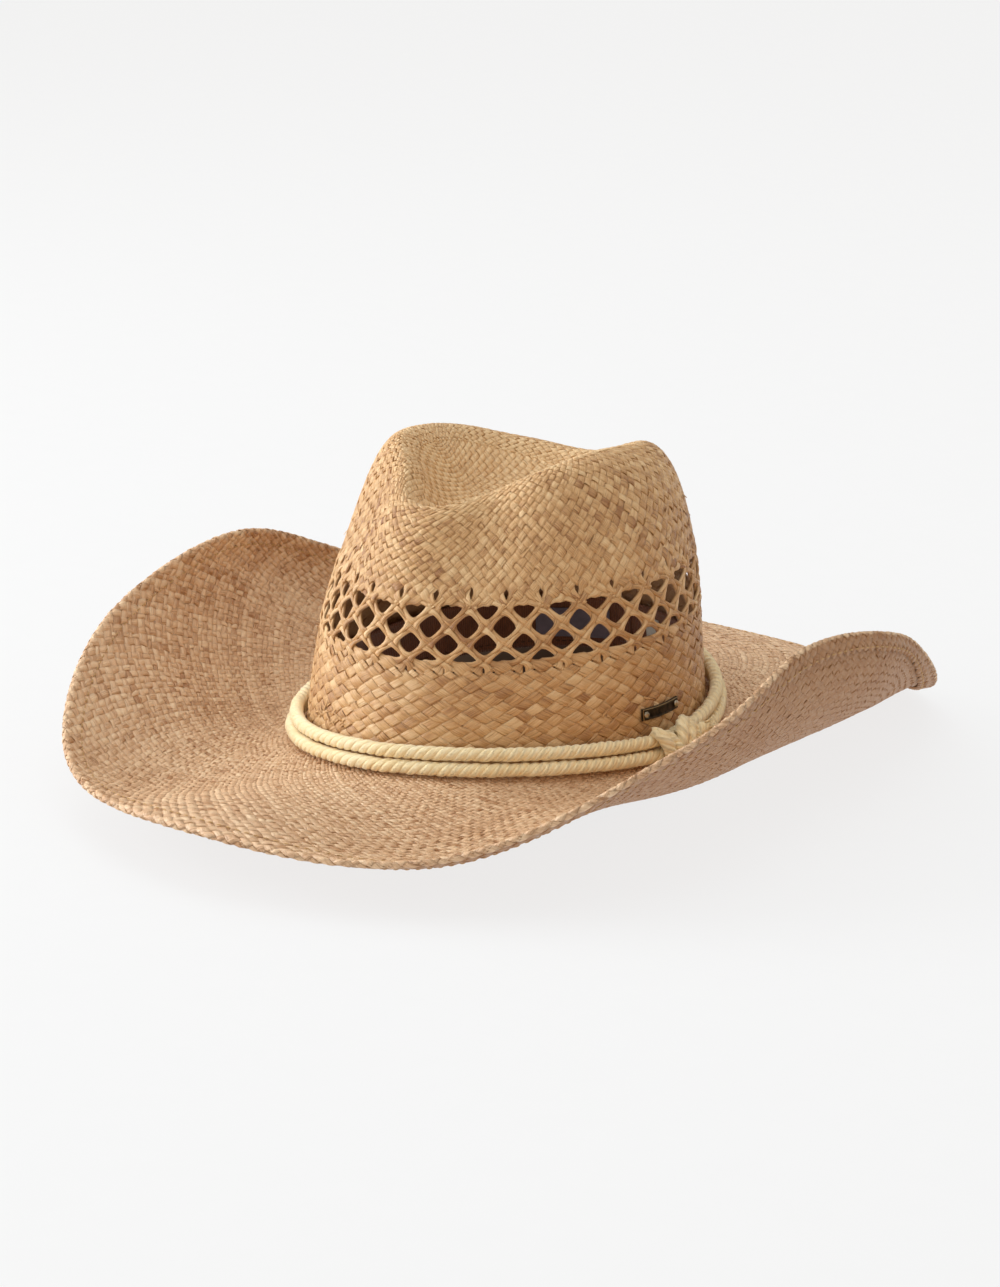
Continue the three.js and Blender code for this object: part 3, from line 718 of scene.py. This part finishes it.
def lower_straw(look):
    """Lower side of the crown; above it the strips gather in pairs and make the open band."""
    rows_below = round((VENT_ROWS_Z[0] + 4) / LOWER_PITCH)
    levels = np.arange(KNOT_ROWS + 1) * 2
    heights = VENT_ROWS_Z + [VENT_ROWS_Z[-1] + 5]

    def place(theta, level, height):
        # level 0 is the lowest row of knots, at VENT_ROWS_Z[0]
        z_low = base_z(theta)
        share = np.clip(1 + level / rows_below, -0.02, 1)
        z = np.where(level < 0, z_low + (VENT_ROWS_Z[0] - z_low) * share, np.interp(level, levels, heights))
        return off(wall, theta, level_to_v(theta, z), height - SINK)

    def squeeze(level):
        # tight half way between the knots, wider at them
        tight = VENT_TIGHT + VENT_WIDER * np.cos(math.pi * level / 2) ** 4
        return 1 - (1 - tight) * smooth_step(level, 0.85, 1.75)

    def sink(level):
        return 0.7 * smooth_step(level, 8.3, 9.3)

    pieces = []
    for name, first, last in (("crown_straw_lower", -rows_below, 0.3), ("crown_straw_vent", 0.1, 10.4)):
        vent = first > 0
        parts = [family(hand, WALL_COUNT, first, last, place, step=6 if vent else 5, across=6, group=2,
                        squeeze=squeeze, turn=-3, seed=21 + hand, fill=1.02, wobble=0.13, sink=sink)[0]
                 for hand in (1, -1)]
        pieces.append(woven(name, look, parts))
    return pieces


PAINTED_TOP_SHEEN = 0.45          # painted sheen, added to the tint of the dented top, which faces the overhead light
TOP_INNER = 0.8          # share of the top's radius that the square plait fills


def upper_straw(look):
    """Upper side of the crown, over the ridge and into the dent. Its strips leave the open band in threes."""
    vent_rows = 3 * (KNOT_ROWS - 2)
    ring_angles = np.linspace(0, TAU, 73)
    v_top = level_to_v(ring_angles, VENT_ROWS_Z[-1] + 0 * ring_angles)

    def v_start(theta):
        return np.interp(theta % TAU, ring_angles, v_top)

    def surface(theta, t):
        # t from 0 at the open band to 0.5 on the ridge and 1 near the middle of the dent
        start = v_start(theta)
        v = start + (1 - start) * np.clip(2 * t, 0, 1)
        rho = 1 - (1 - TOP_INNER) * np.clip(2 * t - 1, 0, 1)
        return np.where((t <= 0.5)[..., None], wall(theta, v), top(theta, rho))

    t_table, rows = row_scale(surface, UPPER_COUNT)
    knots = np.arange(KNOT_ROWS) * 3 - 3

    def place(theta, level, height):
        z = np.interp(level, knots, VENT_ROWS_Z)
        t = np.interp(level - vent_rows, rows, t_table)
        start = v_start(theta)
        v = np.where(level < vent_rows, level_to_v(theta, z), start + (1 - start) * np.clip(2 * t, 0, 1))
        rho = 1 - (1 - TOP_INNER) * np.clip(2 * t - 1, 0, 1)
        on_top = (2 * t > 1)[..., None]
        e = 1e-3
        here = np.where(on_top, top(theta, rho), wall(theta, v))
        # blend the two slopes over the ridge, so that the plait rolls over it
        n_wall = unit(np.cross(wall(theta + e, v) - wall(theta - e, v), wall(theta, v) - wall(theta, v - e)))
        roll = smooth_step(t, 0.44, 0.56)[..., None]
        n = unit(n_wall * (1 - roll) + top_normal(theta, rho, e) * roll)
        return here + n * (height - SINK)[..., None], n

    def squeeze(level):
        return 1 - 0.6 * (1 - smooth_step(level, vent_rows - 2.2, vent_rows - 1))

    def lift(level):
        # painted sheen: paler from the ridge inwards, where the top faces the overhead light
        return PAINTED_TOP_SHEEN * smooth_step(np.interp(level - vent_rows, rows, t_table), 0.42, 0.6)

    total = rows[-1] + vent_rows
    pieces = []
    for hand, side in ((1, "left"), (-1, "right")):
        data = family(hand, UPPER_COUNT, vent_rows - 3.4, total + 0.4, place, step=4, across=4, group=3,
                      squeeze=squeeze, turn=2, seed=31 + hand, fill=1.01, wobble=0.15, lift=lift)
        pieces.append(woven("crown_straw_upper_" + side, look, data))
    return pieces


TOP_HALF = 22            # strips from the middle of the top to each corner of its square plait
TOP_WAVE, TOP_THICK = 0.36, 0.44


def disc_map():
    """Where each point of the square plait lies on a round disc, as a relaxed grid of (x, y)."""
    n = 4 * TOP_HALF + 1
    u = np.linspace(-1, 1, n)
    big_u, big_v = np.meshgrid(u, u, indexing="ij")
    # u runs towards 45 degrees, v towards 135
    a = big_u * np.sqrt(1 - big_v**2 / 2)
    b = big_v * np.sqrt(1 - big_u**2 / 2)
    grid = np.stack([(a - b), (a + b)], -1) / math.sqrt(2)
    for side, angle in (((-1, slice(None)), 45 + 45 * u), ((slice(None), -1), 135 - 45 * u),
                        ((0, slice(None)), 225 - 45 * u), ((slice(None), 0), 315 + 45 * u)):
        r = np.radians(angle)
        grid[side] = np.stack([np.cos(r), np.sin(r)], -1)
    for _ in range(400):
        grid[1:-1, 1:-1] = (grid[2:, 1:-1] + grid[:-2, 1:-1] + grid[1:-1, 2:] + grid[1:-1, :-2]) / 4
    return grid


def top_straw(look):
    """Middle of the dent: a square plait that runs out into the round one."""
    grid = disc_map()
    r = np.random.default_rng(41)

    def place(x, y, height):
        u, v = ((np.clip(w, -TOP_HALF, TOP_HALF) + TOP_HALF) * 2 for w in (x + y, y - x))
        i, j = (np.minimum(w.astype(int), 4 * TOP_HALF - 1) for w in (u, v))
        f, g = (u - i)[..., None], (v - j)[..., None]
        p = ((grid[i, j] * (1 - g) + grid[i, j + 1] * g) * (1 - f)
             + (grid[i + 1, j] * (1 - g) + grid[i + 1, j + 1] * g) * f)
        rho = np.linalg.norm(p, axis=-1) * (TOP_INNER + 0.012)
        theta = np.arctan2(p[..., 1], p[..., 0])
        return top(theta, rho) + top_normal(theta, rho, 2e-3) * (height - SINK)[..., None]

    parts = []
    side = np.linspace(-0.5, 0.5, 3)[None, :]
    sides = np.concatenate([side[0], [0.5, -0.5]])
    for hand in (1, -1):
        for line in np.arange(-TOP_HALF + 0.5, TOP_HALF):
            reach_ = TOP_HALF - abs(line) + 0.2
            along = np.arange(-reach_, reach_ + 0.01, 0.25)[:, None]
            strip = r.normal(size=4)
            across_ = line + side * (0.95 + 0.03 * strip[0]) + 0.05 * strip[1]
            height = hand * TOP_WAVE * np.cos(math.pi * (along + line)) + 0.1 * (1 - (2 * side) ** 2)
            x, y = np.broadcast_arrays(across_, along) if hand > 0 else np.broadcast_arrays(along, across_)
            up = place(x, y, height + TOP_THICK / 2)
            ends = [0, -1]
            down = place(x[:, ends], y[:, ends], height[:, ends] - TOP_THICK / 2)
            ring = np.concatenate([up, down[:, ::-1]], axis=1)
            n, m = ring.shape[:2]
            grain = np.stack(np.broadcast_arrays(
                sides * 1.4 + 50 * line + strip[2], run_length(up[:, 1])[:, None], strip[3] * 20), -1)
            # painted sheen: the middle of the dent is paler, as it faces the overhead light
            tint = np.full((n, m), 0.5 + PAINTED_TOP_SHEEN + 0.2 * strip[2])
            # painted shade between strips and on their undersides, as in family
            edge = np.broadcast_to(np.where(np.arange(m) < 3, np.abs(2 * sides), UNDERSIDE), (n, m))
            parts.append(strip_faces(hand, 3, *(w[None] for w in (ring, grain, tint, edge))))
    return woven("crown_straw_middle", look, parts)


# ------------ rope hatband
LAY, STRAND_R, STRAND_OUT = 13.0, 1.72, 1.55   # three strands: length of a full twist, radius, offset
STRAND_HIGH, STRAND_WIDE = 0.92, 1.08          # their section, as shares of the radius
KNOT_ANGLE = math.radians(2)


def rope_air(theta):
    """How far the slack rope stays off the crown."""
    return 0.7 + 0.9 * np.cos(theta) ** 2


def lower_centre(theta):
    away = rope_air(theta) + ROPE_R + 2
    run = brim(theta, 0.12 + 0 * theta) - brim(theta, 0 * theta)
    slope = np.arctan2(run[..., 2], np.hypot(run[..., 0], run[..., 1]))
    lift = STRAW / 2 + ROPE_R + GAP + 0.35
    rest = ((away + lift * np.sin(slope)) / np.cos(slope)) * np.sin(slope) + lift * np.cos(slope)
    return foot(theta, away) + xyz(0, 0, rest)


def upper_centre(theta):
    p = foot(theta, rope_air(theta) + ROPE_R)
    p[..., 2] = lower_centre(theta)[..., 2] + 2 * ROPE_R + 0.15
    return p


def rope(path, side, seed, sides=10, plump=1.0, phase=0.0):
    """Three twisted strands along a path; side points away from what the rope lies on."""
    r = np.random.default_rng(seed)
    t = unit(np.gradient(path, axis=0))
    a = unit(side - (side * t).sum(-1, keepdims=True) * t)
    b = np.cross(a, t)
    length = run_length(path)
    knots = np.arange(0, length[-1] + 9, 4.5)   # the twist and the size change slowly between these
    parts = []
    for k in range(3):
        slow = np.interp(length, knots, r.normal(size=len(knots)))
        turn = TAU * (length / LAY + k / 3) + phase + 0.12 * slow
        out = np.cos(turn)[:, None] * a + np.sin(turn)[:, None] * b
        size = plump * (1 + 0.035 * np.interp(length, knots, r.normal(size=len(knots))))
        centre = path + out * (STRAND_OUT * size)[:, None]
        parts.append(tube(centre, out, STRAND_R * STRAND_HIGH * size, STRAND_R * STRAND_WIDE * size, sides,
                          9.0 * k + seed))
    return parts


def rope_turn(name, centre, look, seed):
    # the turns run on into the knot from both sides
    theta = np.linspace(math.radians(3), math.radians(361), 760)
    r = np.random.default_rng(seed)
    drift = np.interp(theta, np.linspace(0, 7, 60), r.normal(size=60)) * 0.14
    out = unit(xyz(np.cos(theta) / OVAL_X, np.sin(theta) / OVAL_Y, 0))
    path = centre(theta) + out * drift[:, None]
    return solid(name, look, "hatband", rope(path, out, seed))


def in_knot(points):
    """Points given along the rope, outwards and up from the middle of the two turns."""
    theta = np.array(KNOT_ANGLE)
    at = (upper_centre(theta) + lower_centre(theta)) / 2
    out = unit(xyz(math.cos(KNOT_ANGLE) / OVAL_X, math.sin(KNOT_ANGLE) / OVAL_Y, 0))
    along = np.array([-out[1], out[0], 0])
    p = np.asarray(points, float)
    return at + p[:, :1] * along + p[:, 1:2] * out + p[:, 2:] * [0, 0, 1], out


# each loop and tail of the knot, as such points
KNOT_LOOPS = (
    ((-13.5, -1.5, 7.5), (-14, 3.5, 7), (-12.5, 6.5, 1.5), (-10, 6, -4), (-8.5, 2, -7)),
    ((-9, 1, 6), (-7, 5, 3), (-5.5, 8, -1), (-3.5, 7.5, -5.5), (-3, 3, -8)),
    ((-6, 2, -6), (-5.5, 6.5, -2), (-4, 7.8, 4), (-1, 5.5, 9), (3, 3, 9.5), (5.5, 6, 6), (6, 8.5, 0),
     (5, 6, -6)),
    ((-1.5, 5, -7), (-1, 9, -1), (1.5, 8, 5), (5, 4.5, 7), (9, 3.5, 4)),
)
KNOT_TAILS = (
    ((4, 6, 1), (8, 7, 3.5), (11.5, 7.5, 4.5), (14, 8.6, 5.0)),
    ((4, 7, -3), (8.5, 8.5, -1.5), (12.5, 9.2, 0.2), (15, 10.2, 0.6)),
)


def knot(look):
    """Four loops that wrap the two turns together."""
    parts = []
    for k, loop in enumerate(KNOT_LOOPS):
        points, out = in_knot(loop)
        path = smooth_path(points, 0.8)
        parts += rope(path, out + 0 * path, 60 + k, 10, 0.96, phase=1.7 * k)
    return solid("rope_knot_loops", look, "hatband", parts)


def knot_tail(name, look, tail, seed):
    """A cut end of the rope, with its yarns coming loose."""
    points, out = in_knot(tail)
    path = smooth_path(points, 0.8)
    parts = rope(path, out + 0 * path, seed, 10, 0.92)
    r = np.random.default_rng(seed)
    tip, ahead = path[-1], unit(path[-1] - path[-3])
    across_ = unit(np.cross(ahead, out))
    for _ in range(26):
        u, v = r.normal(size=2) * 1.0
        start = tip - ahead * 1.5 + out * u * 0.9 + across_ * v * 0.9
        reach_ = r.uniform(2.0, 4.6)
        end = tip + ahead * reach_ + out * u * 1.7 + across_ * (v * 1.7 - 0.3)
        bend_ = (start + end) / 2 + r.normal(size=3) * 0.5
        yarn = smooth_path([start, bend_, end], 0.7)
        size = np.linspace(0.5, 0.2, len(yarn))
        parts.append(tube(yarn, out + 0 * yarn, size, size, 5, r.uniform(0, 9)))
    return solid(name, look, "hatband", parts)


def rope_look():
    look = Look("twisted_cotton", roughness=0.9, Sheen_Weight=0.25)
    grain = look.attribute("grain")
    yarn = look.streaks(grain, (2.6, 0.42, 1), 2, 0.5)
    fibre = look.streaks(grain, (6.0, 1.3, 1), 3, 0.6)
    broad = look.noise(look.position(), 60, 3, 0.6)
    tone = look.total((yarn, 0.5), (broad, 0.35), (fibre, 0.15))
    look.colour(look.ramp(tone, (0.3, linear(0xF4D497)), (0.5, linear(0xFFEBBB)), (0.7, linear(0xFFF6DA))))
    look.roughness(look.span(fibre, 0.3, 0.7, 0.8, 0.95))
    first = look.bump(yarn, 0.5, 0.8)
    look.bump(fibre, 0.2, 0.6, first)
    return look.material


# ------------ metal plate
PLATE_ANGLE, PLATE_ABOVE = math.radians(1.5), 20.5
PLATE_LONG, PLATE_HIGH, PIN_AT = 27.0, 5.4, 11.4
PIN_SIDES = 24
# radius and height of the rivet's outline, from the middle of its head to the foot of its shank
PIN_OUTLINE = [(0, 2.35), (0.6, 2.26), (1.1, 2.02), (1.5, 1.6), (1.62, 1.25), (1.5, 1.02), (0.55, 1.0),
               (0.55, -3.2), (0, -3.2)]


def as_grids(*values):
    return np.broadcast_arrays(*(np.asarray(w, float) for w in values))


def on_plate(x, y, z):
    """Points given along, up and out from the middle of the plate's back, which follows the crown."""
    x, y, z = as_grids(x, y, z)
    theta = PLATE_ANGLE + x / OVAL_Y
    height = base_z(theta) + PLATE_ABOVE + y
    return off(wall, theta, level_to_v(theta, height), GAP + 0.1 + z)[0]


def metal_look(name, bright, dark, roughness, wear):
    """Metal with cloudy tarnish, fine scratches and, where edge is high, worn bright edges."""
    look = Look(name, roughness=roughness, metallic=1.0)
    place = look.position()
    cloud = look.noise(place, 420, 4, 0.65)
    scratch = look.streaks(place, (900, 900, 6000), 2, 0.5)
    colour = look.mix(look.span(cloud, 0.35, 0.68), linear(dark), linear(bright))
    edge = look.span(look.attribute("edge", "Fac"), 0.3, 0.9)
    worn = look.math("MULTIPLY", edge, look.span(cloud, 0.3, 0.6, 0.4, 1))
    look.colour(look.mix(worn, colour, linear(wear)))
    look.roughness(look.total((cloud, 0.3), (scratch, 0.12), plus=roughness - 0.18))
    look.bump(look.total((scratch, 0.3), plus=cloud), 0.06, 0.7)
    return look.material


def plate(look):
    """A bar with bevelled sides and a raised rim round a plain field."""
    half_x, half_y = PLATE_LONG / 2, PLATE_HIGH / 2
    inset = np.array([0, 0.12, 0.3, 0.55, 0.75, 0.9, 1.05])
    x = np.concatenate([inset - half_x, np.linspace(1.4 - half_x, half_x - 1.4, 31), half_x - inset[::-1]])
    y = np.concatenate([inset - half_y, np.linspace(1.3 - half_y, half_y - 1.3, 5), half_y - inset[::-1]])
    gx, gy = np.meshgrid(x, y, indexing="ij")
    from_edge = np.minimum(half_x - np.abs(gx), half_y - np.abs(gy))
    bevel = np.interp(from_edge, [0, 0.12, 0.3, 0.55], [0.75, 1.08, 1.25, 1.3])
    field = np.interp(from_edge, [0.75, 1.0], [0, 1])
    ends = np.interp(half_x - np.abs(gx), [3.6, 4.0], [0, 1])
    high = bevel - 0.3 * field * ends
    verts, quads = slab(on_plate(gx, gy, high), on_plate(gx, gy, 0 * gx))
    edge = np.concatenate([np.exp(-((from_edge - 0.3) / 0.25) ** 2).ravel(), np.zeros(gx.size)])
    obj = make("plate_bar", verts, quads, True, edge=edge)
    return dress(obj, look, "hat")


def pin(name, side, look):
    """The domed head of a rivet, and its shank down through the straw."""
    middle = side * PIN_AT
    psi = np.arange(PIN_SIDES) / PIN_SIDES * TAU
    rings = [on_plate(middle + r * np.cos(psi), r * np.sin(psi), z) for r, z in PIN_OUTLINE[1:-1]]
    tip, end = (on_plate([middle], [0], [PIN_OUTLINE[k][1]]) for k in (0, -1))
    verts = np.concatenate([tip, *rings, end])
    index = 1 + np.arange(len(rings) * PIN_SIDES).reshape(-1, PIN_SIDES)
    quads = bands(index[:-1], index[1:])[:, [0, 3, 2, 1]]
    last = len(verts) - 1
    around_ = [(k, (k + 1) % PIN_SIDES) for k in range(PIN_SIDES)]
    caps = np.array([(0, index[0, a], index[0, b]) for a, b in around_]
                    + [(last, index[-1, b], index[-1, a]) for a, b in around_])
    return dress(make(name, verts, (quads, caps), True), look, "hat")


# ------------ sweatband, labels and stitches
BAND_LEAN, BAND_HIGH, BAND_THICK = 2.2, 27, 1.2
BAND_R = 90              # mean radius of the sweatband, which turns an angle into a length
STITCH_SHARE = 0.62      # length of a stitch against the distance from one to the next
# (height, depth) of the sweatband's section: its outside going up, the rolled free edge, its inside going down
BAND_SECTION = np.array([
    (0.5, 0), (3, 0), (8, 0), (14, 0), (20, 0), (24.6, 0), (25.4, -0.12), (26.2, -0.05), (26.8, 0.2), (27, 0.6),
    (27, 0.7), (26.8, 1.1), (26.2, 1.45), (25.4, 1.5), (24.8, 1.25), (24.2, 1.12), (18, 1.2), (12, 1.2),
    (6, 1.2), (4.2, 1.15), (3.5, 0.9), (2.8, 1.15), (0.5, 1.2)])


def in_band(theta, height, depth):
    """Points at a height over the crown's foot and at a depth from the sweatband's outer face."""
    theta, height, depth = as_grids(theta, height, depth)
    inside = STRAW + GAP + BAND_LEAN * height / BAND_HIGH + depth
    return off(wall, theta, level_to_v(theta, base_z(theta) + height), -inside)[0]


def sweatband(look):
    theta = np.linspace(0, TAU, 480, endpoint=False)[:, None]
    height, depth = BAND_SECTION.T
    ripple = 0.1 * np.sin(9 * theta) * height / BAND_HIGH
    ring = in_band(theta, height, depth + ripple)
    index = np.arange(ring.size // 3).reshape(ring.shape[:2])
    quads = bands(index, np.roll(index, -1, 0))[:, [0, 3, 2, 1]]
    grain = np.stack(np.broadcast_arrays(theta * BAND_R, height, depth), -1)
    obj = make("sweatband_cloth", ring, quads, True, grain=grain.reshape(-1, 3))
    return dress(obj, look, "hat")


def patch(name, look, angle, width, low, high, thick):
    """A flat sewn piece on the inside of the sweatband; angle and width in degrees."""
    u, v = np.meshgrid(np.linspace(-0.5, 0.5, 41), np.linspace(0, 1, 21), indexing="ij")
    theta = np.radians(angle + u * width)
    height = low + v * (high - low)
    depth = BAND_THICK + GAP
    near = np.minimum(np.minimum(v, 1 - v) * (high - low), (0.5 - np.abs(u)) * math.radians(width) * BAND_R)
    soft = thick * np.interp(near, [0, 0.25, 0.8, 1.1, 1.5], [0.45, 1, 1, 0.7, 1])
    verts, quads = slab(in_band(theta, height, depth + 0 * u), in_band(theta, height, depth + soft))
    flat = np.stack([u * math.radians(width) * BAND_R, height, 0 * u], -1).reshape(-1, 3)
    obj = make(name, verts, quads[:, ::-1], True, grain=np.concatenate([flat, flat]),
               edge=np.concatenate([near.ravel(), near.ravel()]))
    return dress(obj, look, "hat")


def stitches(name, look, ends, out_of):
    """Small arched stitches. ends is (start, finish) points, out_of the directions that they arch in."""
    parts = []
    rise = np.array([0, 0.75, 1, 0.75, 0])[:, None]
    step = np.linspace(0, 1, 5)[:, None]
    high, wide = [0.16, 0.24, 0.26, 0.24, 0.16], [0.2, 0.3, 0.32, 0.3, 0.2]
    for k, (a, b, n) in enumerate(zip(*ends, out_of)):
        path = a + (b - a) * step + n * (rise - 0.25) * 0.42
        parts.append(tube(path, n + 0 * path, high, wide, 6, 1.0 * k))
    return solid(name, look, "hat", parts)


def hem_stitches(name, look, inset, height, offset):
    """Stitches at a length inset from the fold; offset shifts the row by a share of its pitch."""
    pitch = 4.6

    def line(theta):
        return edge_path(theta, inset + 0 * theta, height + 0 * theta)[0]

    theta = np.linspace(0, TAU, 3600)
    length = run_length(line(theta))
    count = int(length[-1] / pitch)
    at = (np.arange(count) + offset) * length[-1] / count
    first, second = (np.interp(at + d, length, theta) for d in (0, STITCH_SHARE * pitch))
    n = edge_path((first + second) / 2, inset + 0 * first, 0 * first)[1]
    return stitches(name, look, (line(first), line(second)), n)


def band_stitches(look):
    up, depth = 3.5, BAND_THICK - 0.15
    pitch = 3.4 / 88         # as an angle
    theta = np.arange(0, TAU, pitch)
    a, b = (in_band(theta + share * pitch, up, depth) for share in (0, STITCH_SHARE))
    inward = unit(in_band(theta, up, 3.0) - in_band(theta, up, 0.0))
    return stitches("sweatband_stitches", look, (a, b), inward)


def cloth_look(name, pale, deep, rib=0.0):
    """Woven cloth; rib is the distance between its upright ribs in millimetres."""
    pale, deep = linear(pale), linear(deep)
    look = Look(name, roughness=0.85, Sheen_Weight=0.3)
    grain = look.attribute("grain")
    fibre = look.streaks(grain, (5, 2.2, 1), 3, 0.6)
    blotch = look.streaks(grain, (0.12, 0.15, 1), 3, 0.6)
    tone = look.total((fibre, 0.5), (blotch, 0.5))
    colour = look.ramp(tone, (0.3, deep), (0.7, pale))
    height = fibre
    if rib:
        wave = look.math("SINE", look.math("MULTIPLY", look.split(grain, 0), TAU / rib))
        height = look.total((wave, 0.4), plus=fibre)
        # painted shade: darker in the grooves between the ribs
        colour = look.mix(look.span(wave, -1, 0, 0.45, 0), colour, [c * 0.5 for c in deep])
    look.colour(colour)
    look.roughness(look.span(fibre, 0.3, 0.7, 0.75, 0.95))
    look.bump(height, 0.3, 0.8)
    return look.material


def thread_look(name, pale, deep):
    look = Look(name, roughness=0.7)
    ply = look.streaks(look.attribute("grain"), (3.0, 3.0, 1), 2, 0.5)
    look.colour(look.ramp(ply, (0.35, linear(deep)), (0.65, linear(pale))))
    look.roughness(look.span(ply, 0.3, 0.7, 0.6, 0.85))
    look.bump(ply, 0.12, 0.8)
    return look.material


def slivers(look, seed=71):
    """Loose ends of straw that have lifted off the plait, most of them low on the front of the crown."""
    r = np.random.default_rng(seed)
    parts = []
    front = np.radians(r.uniform(244, 262, 16))
    places = list(zip(front, base_z(front) + r.uniform(13, 22, 16)))
    places += [(r.uniform(0, TAU), r.uniform(14, 40)) for _ in range(26)]
    places += [(r.uniform(0, TAU), r.uniform(78, 100)) for _ in range(34)]
    for theta, z in places:
        theta = np.array([theta])
        v = level_to_v(theta, np.array([z]))
        p, n = (w[0] for w in off(wall, theta, v, np.array([-0.25])))
        round_ = unit(np.cross([0, 0, 1], n))
        rise = np.cross(n, round_)
        lean = r.choice([-1, 1]) * r.uniform(0.4, 0.9)
        way = unit(round_ * math.cos(lean) + rise * math.sin(lean)) * r.choice([-1, 1])
        long, lift = r.uniform(3, 7), r.uniform(0.1, 0.9)
        t = np.linspace(0, 1, 7)[:, None]
        path = (p + way * long * t + n * (lift * t**2 + 0.25 * np.sin(math.pi * t))
                + rise * r.normal() * 0.5 * t**2)
        parts.append(tube(path, np.cross(way, n) + 0 * path, np.linspace(0.75, 0.22, 7) * r.uniform(0.6, 1.2),
                          0.11, 8, r.uniform(0, 90)))
    return solid("loose_straw_ends", look, "hat", parts)


camera()
studio()
# The one straw in two copies that differ only by painted light: the brim's copy is paler and greyer for the
# light and sheen on its upward faces, the crown's copy deeper and more golden for the shade on its walls.
crown_shaded_straw_look = straw_look("plaited_straw", 0xECC793, 0xD3A36A, 0x9C6633)
brim_lit_straw_look = straw_look("plaited_straw_brim_lit", 0xEFCDA4, 0xDCB186, 0xA46B34)
brim_pieces = brim_straw(brim_lit_straw_look)
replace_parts(brim_pieces[0], "brim")
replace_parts(brim_pieces[-1], "brim_hem")
lower = lower_straw(crown_shaded_straw_look)
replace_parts(lower[0], "crown_side_lower")
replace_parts(lower[1], "crown_vent_lattice")
upper_pieces = upper_straw(crown_shaded_straw_look)
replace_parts(upper_pieces[0], "crown_side_upper")
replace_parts(top_straw(crown_shaded_straw_look), "crown_top")
slivers(crown_shaded_straw_look)

cotton = rope_look()
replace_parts(rope_turn("rope_turn_lower_twisted", lower_centre, cotton, 51), "rope_turn_lower")
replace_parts(rope_turn("rope_turn_upper_twisted", upper_centre, cotton, 52), "rope_turn_upper")
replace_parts(knot(cotton), "rope_knot")
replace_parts(knot_tail("rope_end_upper_frayed", cotton, KNOT_TAILS[0], 55), "rope_end_upper")
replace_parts(knot_tail("rope_end_lower_frayed", cotton, KNOT_TAILS[1], 56), "rope_end_lower")

bronze = metal_look("antique_bronze", 0x4E4232, 0x1C1711, 0.36, 0x9C8560)
nickel = metal_look("polished_nickel", 0xC8BAA2, 0x8E806A, 0.22, 0xE8DEC8)
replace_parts(plate(bronze), "plate")
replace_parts(pin("plate_pin_front", -1, nickel), "plate_rivet_front")
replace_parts(pin("plate_pin_rear", 1, nickel), "plate_rivet_rear")

band = cloth_look("ribbed_band_cloth", 0x9A5A30, 0x6A3818, rib=1.1)
grey = cloth_look("grey_label_cloth", 0x8E8088, 0x6A5E66)
white = cloth_look("white_tag_cloth", 0xF0EADC, 0xCFC6B4)
brown_thread = thread_look("brown_thread", 0x7A5234, 0x4A2E1C)
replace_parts(sweatband(band), "sweatband")
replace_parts(band_stitches(brown_thread), "sweatband_stitching")
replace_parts(patch("seam_tab_cloth", band, 93, 5, 5.7, 26, 0.7), "sweatband_seam_tab")
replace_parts(patch("blank_label_cloth", grey, 112, 26, 6, 21, 0.5), "sweatband_label")
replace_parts(patch("blank_size_tag", white, 80, 7, 8, 22, 0.4), "size_label")
straw_thread = thread_look("straw_coloured_thread", 0xD8B27C, 0xA87C48)
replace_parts(hem_stitches("hem_stitches_top", straw_thread, HEM_WIDTH - 2.6, 0.45, 0.0), "brim_hem_stitching")
hem_stitches("hem_stitches_under", straw_thread, -math.pi * FOLD_R - HEM_WIDTH + 3.2, 0.3, 0.5)

steel = metal_look("steel_wire", 0xB9BCC0, 0x84888E, 0.35, 0xD8DADC)
brass = metal_look("brass_ferrule", 0xC29A52, 0x7E6230, 0.38, 0xE0C078)
for node, look in (("plate_washer_front", nickel), ("plate_washer_rear", nickel), ("brim_edge_wire", steel),
                   ("brim_wire_ferrule", brass)):
    nodes[node].data.materials.clear()
    nodes[node].data.materials.append(look)
